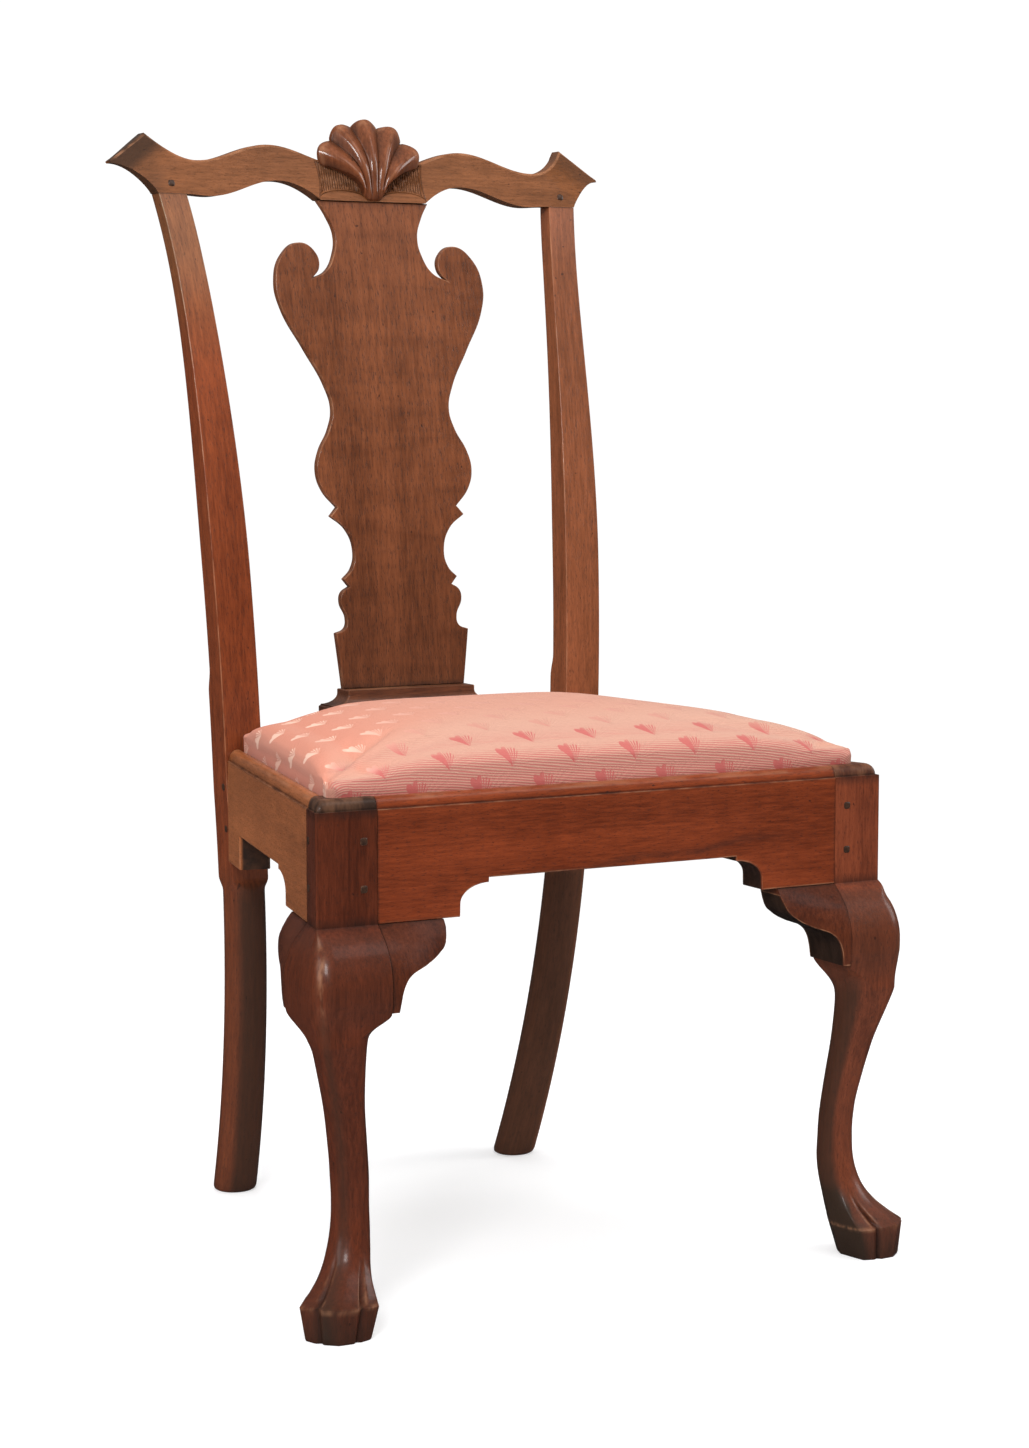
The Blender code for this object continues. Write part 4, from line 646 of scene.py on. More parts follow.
# Side rails, their ends sheared to stand square against the posts
SHEAR_NEAR, SHEAR_FAR = 0.3, 0.15
for sign, side in SIDES.items():
    near = (POST_SIDE + GAP) / SIDE_COS
    far = (POST_FRONT - GAP) / SIDE_COS
    start, end = POST_SIDE / SIDE_COS + SIDE_CUT, POST_FRONT / SIDE_COS - SIDE_CUT_BACK
    line = hollow_line(start, end, SIDE_COVE, 0.0, near, far)
    rings, wear, grime, dusk = rail_rings(SIDE_THICK, close_ends(line))
    grain = rings[..., (1, 2, 0)] + sign * np.array((0.3, 0.0, GRAIN_START["side_rail"]))
    span = (rings[..., 0] - near) / (far - near)
    shear = np.clip(1 - span / SHEAR_NEAR, 0, 1) + np.clip(1 - (1 - span) / SHEAR_FAR, 0, 1)
    rings[..., 0] += rings[..., 1] * SIDE_SIN / SIDE_COS * shear
    loft_piece("side_rail_moulded_" + side, side_place(sign, rings), SIDE_WOOD, ["side_rail_" + side],
               grain, wear, grime, dusk)

# Rear rail: a plain board with eased edges
rear_y = POST_FRONT + REAR_SET_BACK
half = float(min(post_axis(z)[0] for z in (RAIL_BASE, SEAT_TOP))) - POST_WIDTH / 2 - GAP
stations = np.concatenate(([-half, -half + END_STEP], np.linspace(-half, half, 14)[1:-1],
                           [half - END_STEP, half]))
rings = np.zeros((len(stations), 4, 3))
rings[:, :, 0] = stations[:, None]
rings[:, :, 1:] = ((rear_y, RAIL_BASE), (rear_y, SEAT_TOP), (rear_y + REAR_THICK, SEAT_TOP),
                   (rear_y + REAR_THICK, RAIL_BASE))
rings, mask = soften(rings, [ARRIS] * 4)
ends = bell(half - np.abs(stations), JOINT_LINE)[:, None]
loft_piece("rear_rail_board", rings, LEG_WOOD[1], ["rear_rail"],
           lengthwise(rings, GRAIN_START["rear_rail"]), mask, JOINT_GRIME * ends)

# Rear posts
POST_COUNT = 9
REAR_DUSK = {-1: 0.86, 1: 0.72}


def post_rings(z, sign):
    """Rear post: round leg, square block, then a stile with worked-off back corners.

    Gives the rings, their grain and the wear along the front arrises.
    """
    out, back = post_axis(z)
    slim = ease((z - SLIM_FROM) / (SLIM_TO - SLIM_FROM))
    wide = POST_WIDTH + (STILE_WIDTH - POST_WIDTH) * slim
    deep = POST_DEPTH + (STILE_DEPTH - POST_DEPTH) * slim
    back_round = ARRIS + (STILE_ROUND - ARRIS) * ease((z - BLOCK_TOP) / BLOCK_EASE)
    leg = 1.0 - ease((z - LEG_TOP) / (BLOCK_FOOT - LEG_TOP))
    girth = LEG_GIRTH + LEG_SPREAD * (1 - z / LEG_TOP)
    girth = girth - FOOT_EASE * (1 - np.sqrt(1 - np.maximum(0.0, 1 - z / FOOT_EASE)**2))
    wide = wide + (girth - wide) * leg
    deep = deep + (girth - deep) * leg
    full = LEG_ROUND * np.minimum(wide, deep)
    front_round = ARRIS + (full - ARRIS) * leg
    back_round = back_round + (full - back_round) * leg
    x0, x1 = sign * (out - wide / 2), sign * (out + wide / 2)
    y0, y1 = back - deep / 2, back + deep / 2
    corners = ring_corners((x0, y0), (x1, y0), (x1, y1), (x0, y1))
    radii = np.stack((front_round, front_round, back_round, back_round), axis=1)
    rings = at_heights(rounded_rings(corners, radii, POST_COUNT), z)
    start = np.stack((-sign * out, -back, np.full_like(z, GRAIN_START["post"] + sign)), axis=-1)
    turned = np.sin(np.linspace(0, math.pi, POST_COUNT))
    arris = np.concatenate((turned, turned, np.zeros(2 * POST_COUNT)))
    wear = arris * ((1 - leg) * ease((z - RAIL_BASE) / 0.05))[:, None]
    return rings, rings + start[:, None], wear


heights = np.unique(np.concatenate((
    np.linspace(0, FOOT_EASE, 6), np.linspace(FOOT_EASE, LEG_TOP, 28), np.linspace(LEG_TOP, BLOCK_FOOT, 10),
    np.linspace(BLOCK_FOOT, BLOCK_TOP, 16), np.linspace(BLOCK_TOP, BLOCK_TOP + BLOCK_EASE, 8),
    np.linspace(BLOCK_TOP + BLOCK_EASE, CREST_JOINT - 2 * END_STEP, 60),
    [CREST_JOINT - END_STEP, CREST_JOINT - GAP])))
for sign, side in SIDES.items():
    rings, grain, wear = post_rings(heights, sign)
    grime = np.maximum(JOINT_GRIME * bell(CREST_JOINT - heights, JOINT_LINE), 0.3 * bell(heights, 0.012))
    # Painted shade below the rail, under the seat, lighter on the outer side that faces the light
    outer = ease((sign * rings[..., 0] - post_axis(heights)[0][:, None] - 0.009) / 0.006)
    dusk = ease((RAIL_BASE + 0.01 - heights) / 0.05)[:, None] * (REAR_DUSK[sign] - 0.4 * outer)
    loft_piece("rear_post_shaped_" + side, rings, POST_WOOD[sign], ["rear_post_" + side], grain, wear,
               grime[:, None], dusk)

# Front legs: runs are shares of a height, then of a swell, or of a throw and a width
KNEE_RUN = ((0.0, 0.94), (0.18, 1.0), (0.38, 0.985), (0.56, 0.88), (0.75, 0.64), (0.91, 0.26), (1.0, 0.0))
knee_swell = curve_through([(SHANK_TOP, 0.82)]
                           + [(BRACKET_BASE + BRACKET_HEIGHT * t, swell) for t, swell in KNEE_RUN])
FOOT_RUN = ((0.0, 1.0, 1.0), (0.05, 0.862, 0.847), (0.13, 0.69, 0.65), (0.205, 0.538, 0.486),
            (0.36, 0.308, 0.264), (0.55, 0.113, 0.131), (0.745, 0.010, 0.056))
SHANK_RUN = ((0.0, 0.0, 0.0), (0.187, 0.073, -0.011), (0.412, 0.309, 0.126), (0.637, 0.594, 0.349),
             (0.861, 0.861, 0.714), (1.0, 1.0, 1.0))


def run_points(low, high, base, peak, run, column):
    """Points of a curve from shares of a height and of a value."""
    return [(low + (high - low) * row[0], base + (peak - base) * row[column]) for row in run]


shank_throw = curve_through(run_points(FOOT_RIM, ANKLE_HEIGHT, 0.0, RIM_THROW, FOOT_RUN, 1)
                            + run_points(ANKLE_HEIGHT, SHANK_TOP, 0.0, SHANK_THROW, SHANK_RUN, 1))
shank_width = curve_through(run_points(FOOT_RIM, ANKLE_HEIGHT, ANKLE_WIDTH, RIM_WIDTH, FOOT_RUN, 2)
                            + run_points(ANKLE_HEIGHT, SHANK_TOP, ANKLE_WIDTH, SHANK_WIDTH, SHANK_RUN, 2))
LEG_COUNT = 40
TOE_NOTCHES = (-13, 58)
TOE_CORNERS = ((-100, 1.0), (-41, 1.12), (-21, 1.04), (-13, 0.92), (-5, 1.03), (22.5, 1.07), (50, 1.03),
               (58, 0.92), (66, 1.04), (88, 1.12), (147, 1.0), (170, 1.0), (193, 1.0), (216, 1.0),
               (238, 1.0), (260, 1.0))
toe_angle, toe_reach = np.radians([c[0] for c in TOE_CORNERS]), np.array([c[1] for c in TOE_CORNERS])


def toe_outline(angle):
    """Foot's outline from above, as a share of its radius: straight lines between corners and notches."""
    k = np.clip(np.searchsorted(toe_angle, angle, side="right") - 1, 0, len(toe_angle) - 2)
    start, end = toe_angle[k], toe_angle[k + 1]
    near, far = toe_reach[k], toe_reach[k + 1]
    return near * far * np.sin(end - start) / (near * np.sin(angle - start) + far * np.sin(end - angle))


def shank_rings(z, sign):
    """Round shank and foot: rings thrown out along the diagonal, cut by grooves between the toes.

    Gives the rings, then how far each place lies in a groove and on a ridge beside one.
    """
    low_part = np.clip(z / FOOT_RIM, 0, 1)
    throw = np.where(z < FOOT_RIM, SOLE_THROW + (RIM_THROW - SOLE_THROW) * low_part, shank_throw(z))
    wide = np.where(z < FOOT_RIM, SOLE_WIDTH + (RIM_WIDTH - SOLE_WIDTH) * low_part, shank_width(z))
    cx, cy, h = SHANK_X + throw, SHANK_Y - throw, wide / 2
    sharp = h * (1.0 - SHARP_SHARE * ease(1 + (z - SHANK_TOP) / SHARP_RUN))
    full = 0.97 * h
    soft = full * (1.0 - FLAT_SHARE * ease((z - FLAT_FROM) / FLAT_RUN))
    corners = ring_corners((cx + h, cy - h), (cx - h, cy - h), (cx - h, cy + h), (cx + h, cy + h))
    radii = np.stack((np.minimum(full, sharp), soft, full, soft), axis=1)
    flat = rounded_rings(corners, radii, LEG_COUNT)
    dx, dy = flat[..., 0] - cx[:, None], flat[..., 1] - cy[:, None]
    slim = THIN_SHARE * ease((z - THIN_FROM) / THIN_RUN)[:, None] * (dx + dy)
    dx, dy = dx - slim, dy - slim
    around = (np.arctan2(dx, -dy) - toe_angle[0]) % (2 * math.pi) + toe_angle[0]
    low = ease(1 - (z - FOOT_RIM) / TOE_FADE)[:, None]
    away = [np.abs(around - math.radians(place)) / NOTCH_WIDTH for place in TOE_NOTCHES]
    groove = sum(bell(a, 0.7) for a in away)
    ridge = sum(bell(a - 1.15, 0.35) for a in away)
    channel = CHANNEL_DEPTH * groove * ease((z - FOOT_RIM) / 0.005)[:, None]
    scale = 1.0 + low * (toe_outline(around) - 1.0 - channel)
    lift = TOE_LIFT * low * low_part[:, None] * bell(around - TOE_AXIS, TOE_SPREAD)
    x, y = cx[:, None] + dx * scale, cy[:, None] + dy * scale
    rings = np.stack((sign * x, y, z[:, None] + lift), axis=-1)
    return rings, groove * low, ridge * low * ease((z - FOOT_RIM) / 0.004)[:, None]


def knee_rings(z, sign, inset=0.0):
    """Knee and corner post, flat against the rails and brackets, set in at the moulding."""
    swell = np.where(z < RAIL_BASE, knee_swell(z), 0.0)
    front = inset - KNEE_FRONT * swell
    joint_x, back_y = np.full_like(z, JOINT_X[sign]), np.full_like(z, POST_SIDE)
    outer_x = CORNER_X + KNEE_SIDE * swell - inset
    rear_x = CORNER_X - POST_SIDE * math.tan(SIDE_ANGLE) + KNEE_SEAM * swell / SIDE_COS - inset
    corners = ring_corners((outer_x, front), (joint_x, front), (joint_x, back_y), (rear_x, back_y))
    below = ease((RAIL_BASE - 0.001 - z) / 0.014)
    corner = np.where(inset > 0, CORNER_ROUND, POST_ARRIS + (KNEE_ROUND - POST_ARRIS) * below)
    arris = np.full_like(z, JOINT_ARRIS)
    flat = rounded_rings(corners, np.stack((corner, arris, arris, arris), axis=1), LEG_COUNT)
    flat[..., 0] *= sign
    return at_heights(flat, z)


LEG_DUSK = {-1: 0.08, 1: 0.32}
MOULD_DUSK = {-1: 0.88, 1: 0.6}
foot_z = np.concatenate(([0.0, 0.0008, 0.002], np.linspace(0.002, FOOT_RIM, 10)[1:-1], [FOOT_RIM - 0.0006],
                         [FOOT_RIM], FOOT_RIM + np.array((0.0005, 0.0014, 0.0026)),
                         np.linspace(FOOT_RIM + 0.004, 0.07, 22), np.linspace(0.07, THROAT_BASE, 36)[1:]))
throat_z = np.linspace(THROAT_BASE, BRACKET_BASE, 26)[1:]
knee_z = np.concatenate((np.linspace(BRACKET_BASE, RAIL_BASE - 0.001, 30)[1:],
                         [RAIL_BASE - 0.0003, RAIL_BASE]))
post_z = np.linspace(RAIL_BASE, SEAT_TOP - MOULD_HEIGHT, 12)[1:]
column = np.arange(4 * LEG_COUNT)
from_corner = column - (LEG_COUNT - 1) / 2
inner_front = bell(column - 1.5 * LEG_COUNT + 0.5, 0.45 * LEG_COUNT)
inner_face = ease((column - 1.25 * LEG_COUNT) / 12) * ease((3.1 * LEG_COUNT - column) / 12)
for sign, side in SIDES.items():
    low, groove, ridge = shank_rings(foot_z, sign)
    middle = np.mean(low[0, :, :2], axis=0)
    for row, share in enumerate(SOLE_EASE):
        low[row, :, :2] += share * (middle - low[row, :, :2])
    t = ease((throat_z - THROAT_BASE) / (BRACKET_BASE - THROAT_BASE))[:, None, None]
    t = t**(2.4 + 3.4 * inner_front)[None, :, None]
    throat = (1 - t) * shank_rings(throat_z, sign)[0] + t * knee_rings(throat_z, sign)
    top = np.concatenate([knee_rings(np.array([z]), sign, inset) for inset, z in mould_profile(9)[1:]])
    rings = np.concatenate((low, throat, knee_rings(knee_z, sign), knee_rings(post_z, sign), top))
    z = rings[..., 2]
    axis_x = sign * (SHANK_X + 0.6 * np.interp(z, foot_z, shank_throw(foot_z)))
    grain = np.stack((rings[..., 0] - axis_x, rings[..., 1], z + GRAIN_START["leg"] + 2 * sign), axis=-1)
    foot, mould = slice(0, len(foot_z)), slice(-len(top), None)
    wear = bell(from_corner, 6.0) * bell(z - RAIL_BASE + 0.035, 0.028)
    # The rim is rubbed pale; the ridges beside the toe grooves get wear and painted highlights
    wear[foot] += 0.8 * bell(z[foot] - FOOT_RIM - 0.002, 0.0014) + 0.7 * ridge
    wear[mould] += 0.8 - MOULD_DUSK[sign] / 2
    grime = np.maximum(bell(z - CREASE_HEIGHT, CREASE_WIDTH), 0.8 * bell(z - RAIL_BASE, 0.0015))
    grime[foot] = np.maximum(grime[foot], np.minimum(1.0, 0.75 * groove) + 0.4 * bell(z[foot], 0.02))
    grime[mould] = np.maximum(grime[mould], 0.3)
    # Painted shade down the shank: along the left leg's outer front corner, over the right leg's inner face
    band = 0.45 * bell(from_corner, 8.0) if sign < 0 else 0.5 * inner_face
    dusk = LEG_DUSK[sign] + band * ease((SHANK_TOP + 0.03 - z) / 0.04) + 0.14 * ease((z - SHANK_TOP) / 0.03)
    dusk = dusk * ease((RAIL_BASE - z) / 0.01) + 0.42 * bell(z, 0.042)
    # Painted shade on the right foot's facets that face left and back
    if sign > 0:
        toe_side = np.arctan2(rings[..., 0] - axis_x, SHANK_Y - 0.02 - rings[..., 1])
        dusk += 0.5 * ease((-0.66 - toe_side) / 0.1) * np.exp(-(z / 0.05)**4)
    dusk[mould] = MOULD_DUSK[sign]
    loft_piece("front_leg_carved_" + side, rings, LEG_WOOD[sign], ["front_leg_" + side], grain,
               np.clip(wear, 0, 1), np.clip(grime, 0, 1), np.clip(dusk, 0, 1))

# Knee brackets
BRACKET_RUN = ((0.0, 0.0), (0.111, 0.0), (0.125, 0.088), (0.150, 0.206), (0.214, 0.338), (0.316, 0.426),
               (0.444, 0.473), (0.581, 0.515), (0.821, 0.632), (0.949, 0.757), (1.0, 0.912))
bracket_edge = curve_through(BRACKET_RUN)
BRACKET_UNDERCUT = 0.0035
FRONT_KEEP, SIDE_KEEP = 0.60, 0.85


def bracket_piece(name, node, origin, along, outward, shear, bulge, keep):
    """Ogee bracket: its face swells as the knee does, over a lower edge drawn along the rail.

    The swell shrinks to a kept share of the bulge at the far end.
    """
    q = np.concatenate((np.linspace(0, 0.111, 5), np.linspace(0.111, 0.32, 16)[1:],
                        np.linspace(0.32, 1, 24)[1:]))
    edge = BRACKET_BASE + BRACKET_HEIGHT * bracket_edge(q)
    top = RAIL_BASE - GAP
    z = edge[:, None] + (top - edge)[:, None] * np.linspace(0, 1, 22)
    out = bulge * (1.0 - (1.0 - keep) * ease(q))[:, None] * knee_swell(z)
    back = np.full((len(q), 1), -BRACKET_DEPTH)
    front = out[:, :1] - BRACKET_UNDERCUT
    out = np.concatenate((out, back, back, front), axis=1)
    z = np.concatenate((z, np.full((len(q), 1), top), edge[:, None], edge[:, None]), axis=1)
    run = GAP + q[:, None] * BRACKET_LENGTH + shear * out * (1 - q[:, None])
    radii = np.zeros(z.shape[1])
    radii[[0, -2]] = ARRIS
    rings, mask = soften(np.stack((run, out, z), axis=-1), radii)
    run, out, z = (rings[..., k] for k in range(3))
    x = origin[0] + along[0] * run + outward[0] * out
    y = origin[1] + along[1] * run + outward[1] * out
    grain = np.stack((run, out, z + GRAIN_START["bracket"] + origin[0]), axis=-1)
    # Painted shade on the underside, laid through both the grime and the shade marks
    under = (z < edge[:, None] + 0.003) & (out < front + 0.0005)
    grime = np.maximum(0.95 * under, 0.8 * bell(top - z, JOINT_LINE))
    grime = np.maximum(grime, JOINT_GRIME * bell(run - GAP, 0.0014))
    loft_piece(name, np.stack((x, y, z), axis=-1), BRACKET_WOOD, [node], grain, mask, grime, 0.9 * under)


for sign, side in SIDES.items():
    bracket_piece("front_bracket_shaped_" + side, "front_bracket_" + side, (sign * JOINT_X[sign], 0.0),
                  (-sign, 0.0), (0.0, -1.0), 0.0, KNEE_FRONT, FRONT_KEEP)
    start = (sign * side_x(POST_SIDE, 0.0), POST_SIDE)
    bracket_piece("side_bracket_shaped_" + side, "side_bracket_" + side, start,
                  (-sign * SIDE_SIN, SIDE_COS), (sign * SIDE_COS, SIDE_SIN), -SIDE_SIN / SIDE_COS,
                  KNEE_SEAM, SIDE_KEEP)

# Crest rail
stile_x = float(post_axis(CREST_JOINT)[0])
stile_in, stile_out = stile_x - STILE_WIDTH / 2, stile_x + STILE_WIDTH / 2
crest_front = float(post_axis(CREST_JOINT)[1]) - STILE_DEPTH / 2
HUMP_X, HUMP_TOP = 0.100, CREST_JOINT + 0.0492
TROUGH_X, TROUGH_TOP = stile_x - 0.0277, CREST_JOINT + 0.0318
EAR_X, EAR_TOP = stile_x + 0.0148, CREST_JOINT + 0.0565
TIP_X, TIP_Z, TIP_THICK = stile_x + 0.0513, CREST_JOINT + 0.027, 0.0025
BELLY_X, BELLY_Z = stile_in - 0.0229, CREST_JOINT - 0.0012
ARCH_X, ARCH_Z = 0.095, CREST_JOINT + 0.0156


def crest_top(x):
    """Hump and trough as half cosines, then a parabola up the ear and its slanting end."""
    wave = 0.5 + 0.5 * np.cos(math.pi * (x - HUMP_X) / (TROUGH_X - HUMP_X))
    hump = TROUGH_TOP + (HUMP_TOP - TROUGH_TOP) * wave
    ear = TROUGH_TOP + (EAR_TOP - TROUGH_TOP) * ((x - TROUGH_X) / (EAR_X - TROUGH_X))**2
    end = EAR_TOP + (TIP_Z + TIP_THICK - EAR_TOP) * (x - EAR_X) / (TIP_X - EAR_X)
    return np.where(x < TROUGH_X, hump, np.where(x < EAR_X, ear, end))


def crest_bottom(x):
    """Flat over the splat, an arch, a belly, flat on the stile, then a sine up under the ear."""
    arch = ARCH_Z + (BELLY_Z - ARCH_Z) * ((ARCH_X - x) / (ARCH_X - CREST_FLAT))**2
    wave = 0.5 + 0.5 * np.cos(math.pi * (x - ARCH_X) / (BELLY_X - ARCH_X))
    belly = BELLY_Z + (ARCH_Z - BELLY_Z) * wave
    seat = BELLY_Z + (CREST_JOINT - BELLY_Z) * ease((x - BELLY_X) / (stile_in - BELLY_X))
    reach = np.clip((x - stile_out) / (TIP_X - stile_out), 0, 1)
    under = CREST_JOINT + (TIP_Z - CREST_JOINT) * np.sin(reach * math.pi / 2)**0.8
    low = np.where(x < CREST_FLAT, BELLY_Z, np.where(x < ARCH_X, arch, belly))
    end = np.where(x < stile_in, seat, np.where(x < stile_out, CREST_JOINT, under))
    return np.where(x < BELLY_X, low, end)


def crest_face(x, z):
    """Front of the crest: tilted, with the ears swept back by a power of their reach."""
    slope = np.array((EAR_TOP - TIP_Z, TIP_X - EAR_X))
    slope /= np.linalg.norm(slope)
    past = (np.abs(x) - TIP_X) * slope[0] + (z - TIP_Z) * slope[1] + EAR_RUN
    sweep = EAR_SWEEP * np.maximum(0.0, past / EAR_RUN)**EAR_CURL
    return crest_front + CREST_TILT * (z - CREST_JOINT) + sweep


def carved_ground(x, z):
    """Ground beside the shell: sunk panel over two low arches, with upright gouge strokes.

    Gives the depth of the cut, how much of the place lies in the panel, and the line round it.
    """
    a = np.abs(x)
    border = PANEL_HALF - PANEL_WAIST * np.sin(np.clip((z - CREST_JOINT) / PANEL_HEIGHT, 0, 1) * math.pi)
    bow = np.sqrt(np.clip(1 - ((a - PANEL_ARCH_X) / PANEL_ARCH_HALF)**2, 0, 1))
    arch = CREST_JOINT + 0.0006 + PANEL_ARCH_RISE * bow
    inside = ease((border - a) / PANEL_EDGE) * ease((z - arch) / PANEL_EDGE)
    bend = 0.35 * np.sin(900 * z + 260 * x)
    stroke = 1 - (0.5 + 0.5 * np.cos(2 * math.pi * x / STROKE_PITCH + bend))**2.5
    long = 0.6 + 0.4 * np.sin(520 * z + 40 * np.sin(310 * x))
    line = bell(a - border - LINE_OUT, LINE_WIDTH) + bell(z - arch + 0.0006, LINE_WIDTH) * (a < border)
    line = np.clip(line, 0, 1)
    return inside * (GROUND_DEPTH + STROKE_DEPTH * stroke * long) + LINE_DEPTH * line, inside, line


half_x = np.unique(np.round(np.concatenate((
    np.arange(0, 0.0580, 0.0004), np.linspace(0.058, ARCH_X, 26), np.linspace(ARCH_X, TROUGH_X, 44),
    np.linspace(TROUGH_X, stile_in, 10), np.linspace(stile_in, stile_out, 16),
    np.linspace(stile_out, TIP_X, 40), [CREST_FLAT, EAR_X])), 6))
x = np.concatenate((-half_x[:0:-1], half_x))
low, high = crest_bottom(np.abs(x)), crest_top(np.abs(x))
tall = high - low
eased = np.minimum(CREST_EASE, 0.3 * tall)
thick = CREST_THICK * (1 - 0.45 * ease((np.abs(x) - stile_out) / (TIP_X - stile_out)))
share = np.linspace(0, 1, 84)
z_front = low[:, None] + (tall - eased)[:, None] * share
y_front = crest_face(x[:, None], z_front)
depth, inside, incised = carved_ground(x[:, None], z_front)
y_front = y_front + depth
turn = np.linspace(0, math.pi / 2, 6)[1:]
z_ease = (high - eased)[:, None] + eased[:, None] * np.sin(turn)
y_ease = crest_face(x[:, None], z_ease) + eased[:, None] * (1 - np.cos(turn))
back_low = crest_face(x, low) + thick
back_high = crest_face(x, high) + thick
back_y = np.stack((back_high - 0.35 * thick, back_high - 0.13 * thick, back_high - 0.06 * thick,
                   (back_low + back_high) / 2, back_low - 0.04 * thick, back_low - 0.08 * thick,
                   back_low - 0.16 * thick), axis=1)
back_z = np.stack((high, high - 0.10 * tall, high - 0.22 * tall, (low + high) / 2, low + 0.18 * tall,
                   low + 0.08 * tall, low), axis=1)
y_ring = np.concatenate((y_front, y_ease, back_y, y_front[:, :1] + 0.0014), axis=1)
z_ring = np.concatenate((z_front, z_ease, back_z, low[:, None]), axis=1)
rings = np.stack((np.broadcast_to(x[:, None], y_ring.shape), y_ring, z_ring), axis=-1)
ARRIS_WEAR = 0.8
EAR_DUSK = {-1: 0.86, 1: 0.45}
LEFT_END_DUSK, UNDER_EAR_DUSK, UNDER_DUSK = 0.36, 0.72, 0.5
face, last = slice(0, len(share)), len(share)
wear, grime, dusk = (np.zeros(y_ring.shape) for _ in range(3))
wear[:, last - 1:last + 4] = ARRIS_WEAR
wear[:, 0] = ARRIS_WEAR
sunk = np.clip((depth - GROUND_DEPTH) / STROKE_DEPTH, 0, 1)
# Painted highlights on the ridges between the gouge strokes
wear[:, face] = np.maximum(wear[:, face], inside * (1 - sunk)**2)
grime[:, face] = 0.9 * incised
swept = (y_front - crest_front - CREST_TILT * (z_front - CREST_JOINT)) / EAR_SWEEP
swept = swept * (np.abs(x) > stile_in)[:, None]
ears = ease((swept - 0.12) / 0.5) * np.where(x < 0, EAR_DUSK[-1], EAR_DUSK[1])[:, None]
ears = np.maximum(ears, LEFT_END_DUSK * ease((-x - stile_x) / 0.018)[:, None])
# Painted shade in the gouge hollows; the ears darker towards their ends
dusk[:, face] = np.maximum(ears, 0.7 * inside * sunk)
dusk[:, last:last + 6] = ears[:, -1:]
# Painted shade along the underside, darker under the ears
dusk[:, -2:] = np.where(np.abs(x) > stile_out, UNDER_EAR_DUSK, UNDER_DUSK)[:, None]
loft_piece("crest_carved", rings, CREST_WOOD, ["crest_rail"], lengthwise(rings, GRAIN_START["crest"]),
           wear, grime, dusk)

# Carved shell on the crest

def shell_lobe(s):
    """Profiles across each lobe, 1 on its crown and 0 in the grooves: one full, one a cosine."""
    u = (s + 1) * SHELL_LOBES / 2
    u = 2 * (u - np.floor(np.minimum(u, SHELL_LOBES - 1e-9))) - 1
    return np.sqrt(np.maximum(0.0, 1 - np.abs(u)**2.2)), 0.5 + 0.5 * np.cos(math.pi * u)


def shell_sheet(columns, rows, front):
    """Fanned lines from the foot to a scalloped edge, each a parabola; ribs stand by the lobe profile."""
    s = np.linspace(-1, 1, columns)[None, :]
    t = np.linspace(0, 1, rows)[:, None]
    full, wavy = shell_lobe(s)
    reach = SHELL_REACH + 0.003 * np.abs(s) - SHELL_SCALLOP * (1 - 0.6 * full - 0.4 * wavy)
    lobe = full + 0.75 * (wavy - full) * ease((t - 0.25) / 0.6)
    angle = SHELL_OPENING * s
    foot = (0.0104 * np.sin(s * math.pi / 2), CREST_JOINT - 0.0006 + 0.0072 * (1 - np.cos(s * math.pi / 2)))
    bend = (0.0135 * s, CREST_JOINT + 0.0375 - 0.0145 * s**2)
    tip = (reach * np.sin(angle), CREST_JOINT + 0.022 + reach * np.cos(angle))
    x, z = ((1 - t)**2 * a + 2 * t * (1 - t) * b + t**2 * c for a, b, c in zip(foot, bend, tip))
    roll = 0.006 * np.maximum(0.0, (t - 0.55) / 0.45)**2.2
    plane = crest_front + CREST_TILT * (z - CREST_JOINT)
    lift = SHELL_RISE * (0.45 + 0.55 * ease(t / 0.5)) * (1 - 0.25 * ease((t - 0.5) / 0.5))
    lift = lift * np.sqrt(1 - np.maximum(0.0, 1 - t / 0.085)**2)
    depth = plane - lift - RIB_RISE * lobe * (0.25 + 0.75 * t) * ease(t / 0.14) * (1 - 0.35 * t**6) + roll
    if not front:
        flat = plane + SHELL_THICK
        depth = flat + (np.minimum(depth + RIM_THICK, flat) - flat) * ease((t - 0.6) / 0.4)
    return np.stack((x, depth, z), axis=-1), lobe, t


columns, rows = SHELL_LOBES * 26 + 1, 64
front, lobe, run = shell_sheet(columns, rows, True)
back = shell_sheet(columns, rows, False)[0]
loop = rim_loop(rows, columns)
faces = np.array(grid_faces(rows, columns, False))
after, count = np.roll(loop, -1), rows * columns
rim = np.stack((loop, after, after + count, loop + count), axis=-1)
faces = np.concatenate((faces, faces[:, ::-1] + count, rim)).tolist()
points = np.concatenate((front.reshape(-1, 3), back.reshape(-1, 3)))
# Painted shade in the grooves between the lobes
shadow = np.clip(1.15 * (1 - lobe)**0.7 - 0.35, 0, 1) * (0.6 + 0.4 * run)
ridge = np.clip((lobe - 0.93) / 0.07, 0, 1) * 0.35 + 0.5 * bell(run - 0.97, 0.03)
plain = np.zeros(count)
shell = make_piece("crest_shell", points, faces, [SHELL_WOOD], 60.0,
                   grain=points + (0, 0, GRAIN_START["shell"]),
                   wear=np.concatenate((ridge.ravel(), plain)),
                   grime=np.concatenate((shadow.ravel(), plain)))
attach(shell, "chair_frame")

